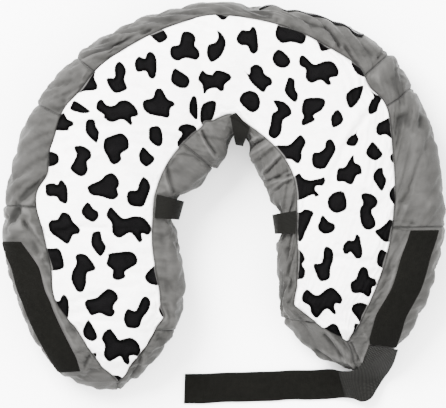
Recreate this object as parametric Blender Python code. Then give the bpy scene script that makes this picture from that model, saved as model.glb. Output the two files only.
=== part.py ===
"""Inflatable recovery collar for a pet, lying flat on its underside.

The cover is a C of cloth panels sewn edge to edge round a hollow: a plush face, a plain
underside, and an outer and an inner side band. Black elastic loops cross the inner side,
pile strips lie on the ends of the outer side, and a webbing strap runs from the right end.
Metres, +Z up. The opening of the C points to -Y, and the back of the neck to +Y.
"""
import math

import bmesh
import bpy
import numpy as np
from mathutils import Vector
from mathutils.bvhtree import BVHTree

# Sizes of the cover
COVER_WIDTH = 0.440
COVER_LENGTH = 0.389
TUBE_HEIGHT = 0.076
BACK_WIDTH = 0.137
NECK_WIDTH = 0.105
NECK_DEPTH = 0.235
NECK_SHIFT = 0.005
CLOTH = 0.002
SEAM_GAP = 0.0005
UNDERSIDE_LIP = 0.003

# Sizes of the fastenings
LOOP_WIDTH = 0.024
LOOP_THICK = 0.0016
LOOP_STAND = 0.0006
LOOP_END_GAP = 0.0004
LOOP_ROOM = 0.0095
STRIP_WIDTH = 0.030
STRIP_THICK = 0.0022
STRAP_WIDTH = 0.030
STRAP_THICK = 0.0018
STRAP_FREE_LENGTH = 0.150
STRAP_FALL_DEG = 2.0
TAPE_THICK = 0.0012
TAPE_LENGTH = 0.160
TAPE_HEM = 0.0008
ZIP_WIDTH = 0.008
ZIP_THICK = 0.0010
TEETH_WIDTH = 0.0035
TEETH_THICK = 0.0012
LAY_GAP = 0.0006
STRIP_GAP = 0.0011
BUTT_GAP = 0.0004

# Fineness of the panels
STATION_STEP = 0.0094
FACE_SPANS = 5
SIDE_SPANS = 6
STRIP_SPANS = 8

# Shape of a cut across the cover, as shares of its own height and reach
SEAM_RISE = 0.86
MIDDLE_RISE = 0.47
UNDERSIDE_TUCK = 0.55
SIDE_FULLNESS = 0.55
SHOULDER_FULLNESS = 0.80
FLAT_SHARE = (0.0, 0.07, 0.5, 0.93, 1.0)
CORNER_MITRE = 0.6
DEPTH_LIMIT = 0.17
FOLD_FADE = 0.10
EDGE_STEPS = 12
FACE_TIP = 0.0012
FACE_TIP_CLOSE = 0.0015

# Cuts across the cover from the left end, round the back, to the right end.
# outer_x, outer_y: where the outer outline is met, in half widths and half lengths of the cover
# inner_x, inner_y: where the neck outline is met, in half widths and depths of the neck
# face_from, face_to: where the plush face starts and ends, in shares of the cut
# rise: height of the cut, in tube heights
SECTION_COLUMNS = ("outer_x", "outer_y", "inner_x", "inner_y", "face_from", "face_to", "rise")
SECTIONS = (
    (-0.58, -0.98, -1.90, -1.03, 0.66, 0.66, 0.42),
    (-0.67, -0.95, -1.70, -1.00, 0.60, 0.76, 0.56),
    (-0.74, -0.90, -1.53, -0.96, 0.50, 0.79, 0.68),
    (-0.80, -0.82, -1.36, -0.92, 0.43, 0.83, 0.80),
    (-0.88, -0.68, -1.04, -0.81, 0.33, 0.87, 0.92),
    (-0.93, -0.53, -0.89, -0.69, 0.23, 0.87, 0.98),
    (-0.98, -0.35, -0.90, -0.54, 0.25, 0.85, 1.00),
    (-1.00, -0.21, -0.99, -0.43, 0.24, 0.86, 1.00),
    (-0.99, -0.04, -0.98, -0.33, 0.20, 0.86, 1.00),
    (-0.95, 0.19, -0.89, -0.26, 0.19, 0.84, 1.00),
    (-0.85, 0.48, -0.54, -0.18, 0.16, 0.79, 1.00),
    (-0.67, 0.72, -0.30, -0.12, 0.13, 0.78, 1.00),
    (-0.48, 0.86, -0.09, -0.08, 0.12, 0.77, 1.00),
    (-0.29, 0.95, 0.06, -0.04, 0.11, 0.78, 1.00),
    (-0.05, 1.00, 0.14, -0.01, 0.09, 0.80, 1.00),
    (0.17, 0.98, 0.23, 0.00, 0.10, 0.86, 1.00),
    (0.36, 0.94, 0.33, -0.03, 0.12, 0.86, 1.00),
    (0.53, 0.89, 0.43, -0.07, 0.16, 0.85, 1.00),
    (0.67, 0.80, 0.53, -0.11, 0.16, 0.84, 1.00),
    (0.75, 0.74, 0.62, -0.14, 0.16, 0.84, 1.00),
    (0.86, 0.56, 0.73, -0.20, 0.18, 0.83, 1.00),
    (0.95, 0.34, 0.80, -0.25, 0.25, 0.84, 1.00),
    (0.99, 0.09, 0.87, -0.31, 0.28, 0.86, 1.00),
    (1.00, -0.15, 0.92, -0.38, 0.31, 0.88, 1.00),
    (0.98, -0.30, 0.96, -0.49, 0.33, 0.88, 0.98),
    (0.94, -0.47, 0.96, -0.61, 0.36, 0.88, 0.94),
    (0.88, -0.62, 1.00, -0.71, 0.39, 0.87, 0.84),
    (0.83, -0.72, 1.06, -0.76, 0.41, 0.72, 0.72),
    (0.79, -0.77, 1.21, -0.82, 0.46, 0.51, 0.62),
    (0.76, -0.81, 1.48, -0.88, 0.46, 0.46, 0.52),
    (0.71, -0.85, 1.84, -0.94, 0.47, 0.47, 0.42),
    (0.67, -0.89, 2.22, -0.97, 0.50, 0.50, 0.34),
)
FACE_ROWS = (0, 28)

# The two noses where the outer and inner sides are sewn together, in half widths and half
# lengths of the cover, with their height in tube heights
NOSES = {"left": (-0.48, -0.99, 0.28), "right": (0.62, -0.90, 0.26)}
NOSE_HALF = CLOTH + SEAM_GAP

# Panels of the two side bands: name, side, and the cuts between which each is sewn.
# The cuts are counted from the left nose.
SIDE_PANELS = (
    ("outer_end_left", "outer", 0, 9),
    ("outer_side_left", "outer", 9, 11),
    ("outer_insert_left", "outer", 11, 12),
    ("outer_side_back", "outer", 12, 20),
    ("outer_insert_right", "outer", 20, 21),
    ("outer_side_right", "outer", 21, 24),
    ("outer_end_right", "outer", 24, 33),
    ("inner_end_left", "inner", 0, 5),
    ("inner_side_left", "inner", 5, 12),
    ("inner_side_right", "inner", 12, 28),
    ("inner_end_right", "inner", 28, 33),
)

# Dents (depth above 0) and bulges (depth below 0) in the cloth.
# cut, drop: the middle, in cuts from the left nose and in shares of the way down or across
# length: reach along the panel's own edge, in tube heights
# spread: reach down or across, in shares of the whole way
# slant: tube heights gained along the panel over the whole way down or across
# depth: in tube heights
FOLD_COLUMNS = ("panel", "cut", "drop", "length", "spread", "slant", "depth")
FOLDS = (
    ("outer", 4.2, 0.18, 0.35, 0.12, 0.00, 0.045),
    ("outer", 6.1, 0.12, 0.30, 0.09, 0.00, 0.050),
    ("outer", 7.2, 0.14, 0.45, 0.10, 0.00, 0.060),
    ("outer", 8.2, 0.22, 0.14, 0.18, 0.40, -0.030),
    ("outer", 8.6, 0.28, 0.16, 0.22, 0.60, 0.085),
    ("outer", 10.3, 0.30, 0.20, 0.20, 0.30, 0.025),
    ("outer", 11.5, 0.35, 0.20, 0.25, 0.20, 0.030),
    ("outer", 12.5, 0.30, 0.20, 0.22, -0.20, 0.035),
    ("outer", 14.0, 0.25, 0.50, 0.14, 0.00, 0.030),
    ("outer", 17.3, 0.22, 0.50, 0.12, 0.00, 0.050),
    ("outer", 18.5, 0.24, 0.22, 0.20, 0.30, 0.050),
    ("outer", 19.6, 0.30, 0.20, 0.22, -0.30, 0.045),
    ("outer", 20.6, 0.32, 0.18, 0.24, 0.20, 0.045),
    ("outer", 22.4, 0.22, 0.22, 0.22, 0.30, 0.025),
    ("outer", 26.0, 0.12, 0.35, 0.10, 0.00, 0.030),
    ("outer", 27.8, 0.10, 0.25, 0.10, 0.00, 0.035),
    ("inner", 2.5, 0.30, 0.20, 0.20, 0.20, 0.040),
    ("inner", 5.3, 0.45, 0.16, 0.35, 0.10, 0.085),
    ("inner", 7.0, 0.35, 0.18, 0.30, 0.10, 0.045),
    ("inner", 8.2, 0.50, 0.14, 0.30, 0.00, 0.060),
    ("inner", 10.4, 0.30, 0.14, 0.28, 0.20, 0.060),
    ("inner", 11.3, 0.50, 0.14, 0.30, 0.20, 0.045),
    ("inner", 12.3, 0.35, 0.12, 0.28, 0.25, 0.060),
    ("inner", 13.4, 0.55, 0.12, 0.28, 0.00, 0.045),
    ("inner", 17.9, 0.30, 0.09, 0.28, -0.20, 0.085),
    ("inner", 19.4, 0.40, 0.10, 0.30, -0.25, 0.080),
    ("inner", 20.6, 0.35, 0.11, 0.28, -0.20, 0.075),
    ("inner", 21.9, 0.50, 0.11, 0.30, -0.10, 0.060),
    ("inner", 24.9, 0.50, 0.14, 0.30, 0.00, 0.060),
    ("inner", 26.3, 0.40, 0.16, 0.30, 0.10, 0.045),
    ("inner", 27.9, 0.45, 0.14, 0.35, 0.10, 0.070),
    ("inner", 30.0, 0.35, 0.25, 0.20, 0.00, 0.035),
    ("face", 6.0, 0.55, 0.25, 0.25, -0.20, 0.020),
    ("face", 11.0, 0.40, 0.20, 0.22, 0.20, 0.025),
    ("face", 14.6, 0.60, 0.12, 0.30, 0.20, 0.035),
    ("face", 23.0, 0.35, 0.30, 0.14, 0.60, 0.030),
    ("face", 27.0, 0.50, 0.20, 0.25, 0.20, 0.022),
)

# Elastic loops on the inner side: name and the cut where each is sewn
LOOPS = (
    ("loop_left", 9.45),
    ("loop_back", 15.75),
    ("loop_right", 23.70),
)
LOOP_SPANS = 8
LOOP_STATIONS = 5
LOOP_SEWN = 0.02
LOOP_HOLLOW = 0.72

# Pile strips on the outer side: cut, and how far below the face seam the upper edge lies,
# in strip widths
STRIPS = {
    "fastening_strip_left": ((7.9, 0.80), (7.0, 0.40), (6.0, 0.18), (5.0, 0.50), (4.0, 0.60), (3.0, 0.80)),
    "fastening_strip_right": ((24.1, 0.62), (25.0, 0.48), (26.0, 0.52), (27.0, 0.38), (28.0, 0.50), (29.0, 0.70)),
}
ZIP_RUN = ((16.0, 0.36), (17.0, 0.38), (18.0, 0.40), (18.75, 0.42))

# Turn of the strap past the end of the right pile strip.
# x, y: middle of a line across it, in strap widths from the middle of that end
# turn: share of the whole turn made there, from square with the strip to square with the free end
# lift: height of its middle above the floor, in strap widths, where it lies on nothing higher
# span: length of the line in strap widths, longer across the corner where the webbing folds
STRAP_COLUMNS = ("x", "y", "turn", "lift", "span")
STRAP_TURN = (
    (0.00, 0.00, 0.00, 0.00, 1.00),
    (-0.19, -0.56, 0.04, 0.10, 1.00),
    (-0.46, -0.95, 0.30, 0.26, 0.94),
    (-0.88, -1.31, 0.66, 0.34, 1.18),
    (-1.12, -1.27, 0.70, 0.30, 1.03),
    (-1.36, -1.24, 0.78, 0.14, 0.97),
    (-1.66, -1.24, 0.95, 0.02, 1.00),
)
STRAP_LANES = 6
STRAP_STEP = 0.007
STRAP_FREE_STEP = 0.0187
STRAP_DRAPE = 1.1
STRAP_GAP = 0.0010
DRAPE_GRID = 0.002
FLOOR_LIFT = 0.0003

# Colours, linear
VELOUR_GREY = (0.200, 0.193, 0.183, 1.0)
PLUSH_WHITE = (0.850, 0.835, 0.825, 1.0)
PILE_BLACK = (0.024, 0.023, 0.020, 1.0)
WEBBING_BLACK = (0.036, 0.035, 0.031, 1.0)
ELASTIC_BLACK = (0.032, 0.031, 0.027, 1.0)
ZIP_BLACK = (0.016, 0.016, 0.016, 1.0)


def clear_scene():
    for item in list(bpy.data.objects):
        bpy.data.objects.remove(item)


def make_material(name, colour, roughness):
    material = bpy.data.materials.new(name)
    material.use_nodes = True
    shader = material.node_tree.nodes["Principled BSDF"]
    shader.inputs["Base Color"].default_value = colour
    shader.inputs["Roughness"].default_value = roughness
    shader.inputs["Metallic"].default_value = 0.0
    material.diffuse_color = colour
    return material


def curve_through(knots, values, at):
    """Smooth curve through values at knots, read at one place."""
    last = len(knots) - 2
    k = int(np.clip(np.searchsorted(knots, at, side="right") - 1, 0, last))
    slopes = []
    for m in (k, k + 1):
        before = max(m - 1, 0)
        after = min(m + 1, last + 1)
        if before == m or after == m:
            slopes.append((values[after] - values[before]) / (knots[after] - knots[before]))
            continue
        left = knots[m] - knots[before]
        right = knots[after] - knots[m]
        slope_left = (values[m] - values[before]) / left
        slope_right = (values[after] - values[m]) / right
        slopes.append((slope_left * right + slope_right * left) / (left + right))
    span = knots[k + 1] - knots[k]
    t = (at - knots[k]) / span
    return (
        (2 * t**3 - 3 * t**2 + 1) * values[k]
        + (t**3 - 2 * t**2 + t) * span * slopes[0]
        + (-2 * t**3 + 3 * t**2) * values[k + 1]
        + (t**3 - t**2) * span * slopes[1]
    )


def outline_rows():
    """Rows of metres: outer point, inner point, face shares, height, with a nose at each end."""
    rows = []
    neck_top = COVER_LENGTH / 2 - BACK_WIDTH
    for record in SECTIONS:
        row = dict(zip(SECTION_COLUMNS, record))
        rows.append((
            row["outer_x"] * COVER_WIDTH / 2,
            row["outer_y"] * COVER_LENGTH / 2,
            NECK_SHIFT + row["inner_x"] * NECK_WIDTH / 2,
            neck_top + row["inner_y"] * NECK_DEPTH,
            row["face_from"],
            row["face_to"],
            row["rise"] * TUBE_HEIGHT,
        ))
    for side, near in (("left", 0), ("right", -1)):
        nose_x, nose_y, rise = NOSES[side]
        outer = np.array(rows[near][0:2])
        inner = np.array(rows[near][2:4])
        across = (inner - outer) / np.linalg.norm(inner - outer)
        centre = np.array((nose_x * COVER_WIDTH / 2, nose_y * COVER_LENGTH / 2))
        start = centre - across * NOSE_HALF
        end = centre + across * NOSE_HALF
        nose = (*start, *end, 0.5, 0.5, rise * TUBE_HEIGHT)
        rows = [nose] + rows if side == "left" else rows + [nose]
    return np.array(rows)


ROWS = outline_rows()
MIDDLES = (ROWS[:, 0:2] + ROWS[:, 2:4]) / 2
RUN = np.concatenate(([0.0], np.cumsum(np.linalg.norm(np.diff(MIDDLES, axis=0), axis=1))))
CUTS = np.arange(len(ROWS), dtype=float)


def run_of(cut):
    """Distance along the middle of the cover at a cut number."""
    return float(np.interp(cut, CUTS, RUN))


def cut_of(run):
    return float(np.interp(run, RUN, CUTS))


class Section:
    """One cut across the cover: an upright plane from the outer outline to the neck outline."""

    def __init__(self, run):
        values = curve_through(RUN, ROWS, run)
        self.run = run
        self.cut = cut_of(run)
        self.start = np.array((values[0], values[1]))
        reach = np.array((values[2], values[3])) - self.start
        self.width = float(np.linalg.norm(reach))
        self.across = reach / self.width
        self.height = float(values[6])
        middle = (values[4] + values[5]) / 2 * self.width
        half = (values[5] - values[4]) / 2 * self.width
        first, last = FACE_ROWS
        on_face = first + 1 - 1e-6 <= self.cut <= last + 1 + 1e-6
        half = max(half, FACE_TIP) if on_face else 0.0
        self.face = (middle - half, middle + half)
        self.seam_z = SEAM_RISE * self.height
        self.middle_z = MIDDLE_RISE * self.height

    def point(self, along, z):
        plan = self.start + self.across * along
        return np.array((plan[0], plan[1], z))


def measure_edges():
    """Distances along the outer outline, the neck outline and the middle, at fine steps of cut."""
    steps = np.linspace(0.0, CUTS[-1], EDGE_STEPS * (len(CUTS) - 1) + 1)
    lines = {"outer": [], "inner": [], "face": []}
    for cut in steps:
        section = Section(run_of(cut))
        lines["outer"].append(section.start)
        lines["inner"].append(section.start + section.across * section.width)
        lines["face"].append(section.start + section.across * section.width / 2)
    lengths = {}
    for edge, points in lines.items():
        strides = np.linalg.norm(np.diff(np.array(points), axis=0), axis=1)
        lengths[edge] = np.concatenate(([0.0], np.cumsum(strides)))
    return steps, lengths


EDGE_CUTS, EDGE_LENGTHS = measure_edges()


def edge_run(edge, cut):
    return float(np.interp(cut, EDGE_CUTS, EDGE_LENGTHS[edge]))


def fold_depth(panel, cut, drop):
    """How far the cloth is pushed in at a place on a panel."""
    depth = 0.0
    here = edge_run(panel, cut)
    for record in FOLDS:
        fold = dict(zip(FOLD_COLUMNS, record))
        if fold["panel"] != panel:
            continue
        lean = fold["slant"] * TUBE_HEIGHT * (drop - fold["drop"])
        away = (here - edge_run(panel, fold["cut"]) - lean) / (fold["length"] * TUBE_HEIGHT)
        off = (drop - fold["drop"]) / fold["spread"]
        depth += fold["depth"] * TUBE_HEIGHT * math.exp(-away * away - off * off)
    edge = min(1.0, drop / FOLD_FADE, (1.0 - drop) / FOLD_FADE)
    return depth * max(edge, 0.0)


def loop_room(cut, drop):
    """The hollow behind an elastic loop, where a pet's own collar is threaded."""
    depth = 0.0
    here = edge_run("inner", cut)
    for _, place in LOOPS:
        away = abs(here - edge_run("inner", place)) / (LOOP_WIDTH * LOOP_HOLLOW)
        depth += LOOP_ROOM * math.exp(-away**4)
    return depth * math.sin(math.pi * drop)


def plain_side(section, side, drop):
    """A side band's cut at a share of the way from the face seam down to the underside seam."""
    angle = math.pi / 2 - math.pi * drop
    sine = math.sin(angle)
    fullness = abs(math.cos(angle)) ** SIDE_FULLNESS if 0.0 < drop < 1.0 else 0.0
    seam = section.face[0] if side == "outer" else section.width - section.face[1]
    if sine < 0.0:
        seam *= UNDERSIDE_TUCK
        reach = UNDERSIDE_LIP - section.middle_z
    else:
        reach = section.seam_z - section.middle_z
    inset = seam * (1.0 - fullness)
    z = section.middle_z + reach * abs(sine) ** SHOULDER_FULLNESS
    along = inset if side == "outer" else section.width - inset
    return np.array((along, z))


def side_normal(section, side, drop):
    step = 0.02
    low = max(drop - step, 0.0)
    high = min(drop + step, 1.0)
    way = plain_side(section, side, high) - plain_side(section, side, low)
    normal = np.array((way[1], -way[0])) if side == "outer" else np.array((-way[1], way[0]))
    return normal / np.linalg.norm(normal)


def cloth_depth(section, side, drop):
    """How far a side band is pushed in, straight between the columns that it is built on."""
    column = min(int(drop * SIDE_SPANS), SIDE_SPANS - 1)
    depths = []
    for place in (column / SIDE_SPANS, (column + 1) / SIDE_SPANS):
        depth = fold_depth(side, section.cut, place)
        if side == "inner":
            depth += loop_room(section.cut, place)
        depths.append(min(depth, DEPTH_LIMIT * min(section.width, section.height)))
    share = drop * SIDE_SPANS - column
    return depths[0] + (depths[1] - depths[0]) * share


def side_point(section, side, drop, lift=0.0, follow=True):
    """A point on a side band, or a lift above it, that follows the cloth's dents or not."""
    depth = cloth_depth(section, side, drop) if follow else 0.0
    place = plain_side(section, side, drop) - side_normal(section, side, drop) * depth
    point = section.point(place[0], place[1])
    return point + lift * outward_from(section, side, drop) if lift else point


def outward_from(section, side, drop):
    """Direction square to a side band in all three axes."""
    step = 0.02
    reach = 0.002
    down = []
    for share in (max(drop - step, 0.0), min(drop + step, 1.0)):
        down.append(section.point(*plain_side(section, side, share)))
    beside = []
    for run in (max(section.run - reach, 0.0), min(section.run + reach, RUN[-1])):
        near = Section(run)
        beside.append(near.point(*plain_side(near, side, drop)))
    normal = np.cross(down[1] - down[0], beside[1] - beside[0])
    if side == "outer":
        normal = -normal
    return normal / np.linalg.norm(normal)


def built_point(section, side, drop, lift):
    """A lift above a side band, straight between the columns that it is built on."""
    column = min(int(drop * SIDE_SPANS), SIDE_SPANS - 1)
    upper, lower = (side_point(section, side, (column + k) / SIDE_SPANS) for k in (0, 1))
    flat = upper + (lower - upper) * (drop * SIDE_SPANS - column)
    return flat + lift * outward_from(section, side, (column + 0.5) / SIDE_SPANS)


def face_point(section, share):
    """A point on the plush face at a share of the way from the outer to the inner seam."""
    along = section.face[0] + (section.face[1] - section.face[0]) * share
    bow = 1.0 - (2.0 * share - 1.0) ** 2
    fullness = min(1.0, (section.face[1] - section.face[0]) / (0.5 * TUBE_HEIGHT))
    crown = (section.height - section.seam_z) * fullness * bow
    dent = fold_depth("face", section.cut, share) * fullness
    return section.point(along, section.seam_z + crown - dent)


def underside_edges(section):
    left = section.face[0] * UNDERSIDE_TUCK
    right = section.width - (section.width - section.face[1]) * UNDERSIDE_TUCK
    return left, right


def underside_point(section, share):
    left, right = underside_edges(section)
    z = UNDERSIDE_LIP if share in (0.0, 1.0) else 0.0
    return section.point(left + (right - left) * share, z)


def station_runs():
    """Places of the cuts that the panels are built on, with each table row among them."""
    runs = [RUN[0]]
    for start, end in zip(RUN[:-1], RUN[1:]):
        count = max(2, round((end - start) / STATION_STEP))
        runs.extend(start + (end - start) * (k + 1) / count for k in range(count))
    first, last = FACE_ROWS
    runs.append(RUN[first + 1] - FACE_TIP_CLOSE)
    runs.append(RUN[last + 1] + FACE_TIP_CLOSE)
    return sorted(runs)


def ring(section):
    """Points right round a cut: face, inner side, underside, outer side."""
    face = [face_point(section, k / FACE_SPANS) for k in range(FACE_SPANS + 1)]
    inner = [side_point(section, "inner", k / SIDE_SPANS) for k in range(1, SIDE_SPANS)]
    under = [underside_point(section, share) for share in reversed(FLAT_SHARE)]
    outer = [side_point(section, "outer", k / SIDE_SPANS) for k in range(SIDE_SPANS - 1, 0, -1)]
    return np.array(face + inner + under + outer)


def skin_normals(grid):
    """Outward normals at the points of the closed grid."""
    along = np.gradient(grid, axis=0)
    round_it = np.roll(grid, -1, axis=1) - np.roll(grid, 1, axis=1)
    normals = np.cross(round_it, along)
    lengths = np.linalg.norm(normals, axis=2, keepdims=True)
    return normals / np.maximum(lengths, 1e-12)


FACE_COLUMNS = range(0, FACE_SPANS + 1)
INNER_COLUMNS = range(FACE_SPANS, FACE_SPANS + SIDE_SPANS + 1)
UNDER_FIRST = FACE_SPANS + SIDE_SPANS
UNDER_COLUMNS = range(UNDER_FIRST, UNDER_FIRST + len(FLAT_SHARE))
OUTER_FIRST = UNDER_FIRST + len(FLAT_SHARE) - 1
OUTER_COLUMNS = [*range(OUTER_FIRST, OUTER_FIRST + SIDE_SPANS), 0]


def lining_point(section, point, low, high, step):
    """The inner skin of a flat panel, drawn in at its seams so that the walls are mitred."""
    middle = (low + high) / 2
    half = max((high - low) / 2, 1e-6)
    along = float(np.dot(point[0:2] - section.start, section.across))
    kept = max(half - CORNER_MITRE * CLOTH, 0.15 * half) / half
    inside = middle + (along - middle) * kept
    return section.point(inside, point[2] + step)


def inner_skin(sections, grid):
    """The lining side of the cloth, a cloth's thickness inside the outer skin."""
    normals = skin_normals(grid)
    skin = grid - normals * CLOTH
    keep_clear = SEAM_GAP / 2
    for i, section in enumerate(sections):
        for j in FACE_COLUMNS:
            skin[i, j] = lining_point(section, grid[i, j], *section.face, -CLOTH)
        for j in UNDER_COLUMNS:
            skin[i, j] = lining_point(section, grid[i, j], *underside_edges(section), CLOTH)
        ridge = (section.face[0] + section.face[1]) / 2
        for columns, sign in ((INNER_COLUMNS, 1.0), (OUTER_COLUMNS, -1.0)):
            for j in list(columns)[1:-1]:
                along = float(np.dot(skin[i, j, 0:2] - section.start, section.across))
                beyond = sign * (along - ridge)
                if beyond < keep_clear:
                    shift = sign * (keep_clear - beyond)
                    skin[i, j, 0:2] += section.across * shift
                skin[i, j, 2] = min(skin[i, j, 2], section.seam_z - CLOTH)
                skin[i, j, 2] = max(skin[i, j, 2], UNDERSIDE_LIP + CLOTH)
    return skin


def draw_in_edges(outer, inner):
    """Move a panel's four edges in by half a seam gap, so that sewn panels only meet."""
    outer = outer.copy()
    inner = inner.copy()
    for edge, beside in (((0, slice(None)), (1, slice(None))), ((-1, slice(None)), (-2, slice(None))),
                         ((slice(None), 0), (slice(None), 1)), ((slice(None), -1), (slice(None), -2))):
        way = outer[beside] - outer[edge]
        length = np.maximum(np.linalg.norm(way, axis=-1, keepdims=True), 1e-9)
        shift = way / length * np.minimum(SEAM_GAP / 2, 0.45 * length)
        outer[edge] = outer[edge] + shift
        inner[edge] = inner[edge] + shift
    return outer, inner


def shell_object(name, outer, inner, material, collection):
    """A closed wall between two grids of points, as one object.

    Each square is split along the diagonal that lies deeper, so that what is laid on the
    wall clears it.
    """
    rows, columns = outer.shape[0:2]
    mesh = bpy.data.meshes.new(name)
    work = bmesh.new()
    top = [[work.verts.new(outer[i, j]) for j in range(columns)] for i in range(rows)]
    low = [[work.verts.new(inner[i, j]) for j in range(columns)] for i in range(rows)]
    for i in range(rows - 1):
        for j in range(columns - 1):
            square = ((i, j), (i, j + 1), (i + 1, j + 1), (i + 1, j))
            a, b, c, d = (outer[corner] for corner in square)
            outward = outer[i, j] - inner[i, j]
            if np.dot(a + c - b - d, outward) > 0.0:
                square = square[1:] + square[:1]
            for skin in (top, low):
                e, f, g, h = (skin[m][n] for m, n in square)
                for corners in ((e, f, g), (e, g, h)):
                    work.faces.new(corners if skin is top else corners[::-1])
    border = [(i, 0) for i in range(rows)]
    border += [(rows - 1, j) for j in range(1, columns)]
    border += [(i, columns - 1) for i in range(rows - 2, -1, -1)]
    border += [(0, j) for j in range(columns - 2, 0, -1)]
    for pair in zip(border, border[1:] + border[:1]):
        (i, j), (m, n) = sorted(pair)
        work.faces.new((top[i][j], top[m][n], low[m][n]))
        work.faces.new((top[i][j], low[m][n], low[i][j]))
    bmesh.ops.recalc_face_normals(work, faces=work.faces)
    if work.calc_volume(signed=True) < 0.0:
        bmesh.ops.reverse_faces(work, faces=work.faces)
    work.to_mesh(mesh)
    work.free()
    mesh.materials.append(material)
    item = bpy.data.objects.new(name, mesh)
    collection.objects.link(item)
    return item


def make_cover(collection, velour, plush):
    runs = station_runs()
    sections = [Section(run) for run in runs]
    grid = np.array([ring(section) for section in sections])
    skin = inner_skin(sections, grid)

    def place_of(cut):
        return int(np.argmin(np.abs(np.array(runs) - run_of(cut))))

    def cut_panel(name, columns, first, last, material):
        columns = list(columns)
        rows = slice(place_of(first), place_of(last) + 1)
        outer, inner = draw_in_edges(grid[rows][:, columns], skin[rows][:, columns])
        return shell_object(name, outer, inner, material, collection)

    first, last = FACE_ROWS
    cut_panel("face_panel", FACE_COLUMNS, first + 1, last + 1, plush)
    cut_panel("underside_panel", UNDER_COLUMNS, first + 1, last + 1, velour)
    panels = {}
    for name, side, start, end in SIDE_PANELS:
        columns = INNER_COLUMNS if side == "inner" else OUTER_COLUMNS
        panels[name] = cut_panel(name, columns, start, end, velour)
    return panels


def band_skin(sections, drops, lift):
    points = []
    for section, row in zip(sections, drops):
        points.append([side_point(section, "outer", drop, lift) for drop in row])
    return np.array(points)


def drops_by_length(section, side, start, width, spans):
    """Shares of the way down a side band whose cloth length starts at start and runs for width."""
    shares = np.linspace(0.0, 1.0, 121)
    points = np.array([plain_side(section, side, share) for share in shares])
    lengths = np.concatenate(([0.0], np.cumsum(np.linalg.norm(np.diff(points, axis=0), axis=1))))
    wanted = start + width * np.linspace(0.0, 1.0, spans + 1)
    return [float(np.interp(w, lengths, shares)) for w in wanted]


def laid_band(name, table, start_unit, width, spans, lift, thick, material, collection, inset=0.0):
    """A band of even width laid on the outer side, with its upper edge from a short table."""
    table = sorted(table)
    cuts = [row[0] for row in table]
    upper = [row[1] for row in table]
    runs = np.array(station_runs())
    first, last = (int(np.argmin(np.abs(runs - run_of(cut)))) for cut in (cuts[0], cuts[-1]))
    sections = [Section(run) for run in runs[first:last + 1]]
    drops = []
    for section in sections:
        start = float(np.interp(section.cut, cuts, upper)) * start_unit + inset
        drops.append(drops_by_length(section, "outer", start, width - 2 * inset, spans))
    low = band_skin(sections, drops, lift)
    top = band_skin(sections, drops, lift + thick)
    shell_object(name, top, low, material, collection)
    return sections, drops


def make_loops(collection, elastic):
    """Elastic bands sewn at the two edges of the inner side, straight across their width."""
    shares = np.linspace(LOOP_SEWN, 1.0 - LOOP_SEWN, LOOP_SPANS + 1)
    across = np.linspace(0.0, 1.0, LOOP_STATIONS)[:, None, None]
    for name, cut in LOOPS:
        sections = []
        for way in (-0.5, 0.5):
            length = edge_run("inner", cut) + way * LOOP_WIDTH
            sections.append(Section(run_of(float(np.interp(length, EDGE_LENGTHS["inner"], EDGE_CUTS)))))
        skins = []
        for lift in (0.0, LOOP_THICK):
            edges = []
            for section in sections:
                sewn = [built_point(section, "inner", share, LOOP_END_GAP + lift) for share in shares[[0, -1]]]
                free = [side_point(section, "inner", share, LOOP_STAND + lift, False) for share in shares[1:-1]]
                edges.append(np.array([sewn[0], *free, sewn[1]]))
            skins.append(edges[0] + (edges[1] - edges[0]) * across)
        shell_object(name, skins[1], skins[0], elastic, collection)


def line_across(heading):
    return np.array((math.cos(math.radians(heading)), math.sin(math.radians(heading))))


def heights_under(trees, lines):
    """Heights of what lies right under a strap, found on a fine grid over its box."""
    middles = np.array([line[0] for line in lines])
    acrosses = np.array([line_across(line[1]) for line in lines])
    low = middles.min(axis=0) - STRAP_WIDTH
    high = middles.max(axis=0) + STRAP_WIDTH
    found = []
    for x in np.arange(low[0], high[0], DRAPE_GRID):
        for y in np.arange(low[1], high[1], DRAPE_GRID):
            nearest = int(np.argmin(np.linalg.norm(middles - (x, y), axis=1)))
            aside = abs(float(np.dot((x, y) - middles[nearest], acrosses[nearest])))
            if aside > lines[nearest][3] / 2 + DRAPE_GRID:
                continue
            for tree in trees:
                hit = tree.ray_cast(Vector((x, y, 1.0)), Vector((0, 0, -1)))[0]
                if hit is not None:
                    found.append((x, y, hit.z))
    return np.array(found)


def drape(found, plan):
    """Height at which webbing lies at one place: on what is under it, or falling away from it."""
    away = np.linalg.norm(found[:, 0:2] - plan, axis=1)
    fall = STRAP_DRAPE * np.maximum(away - DRAPE_GRID, 0.0)
    return float(np.max(found[:, 2] + STRAP_GAP - fall))


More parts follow.
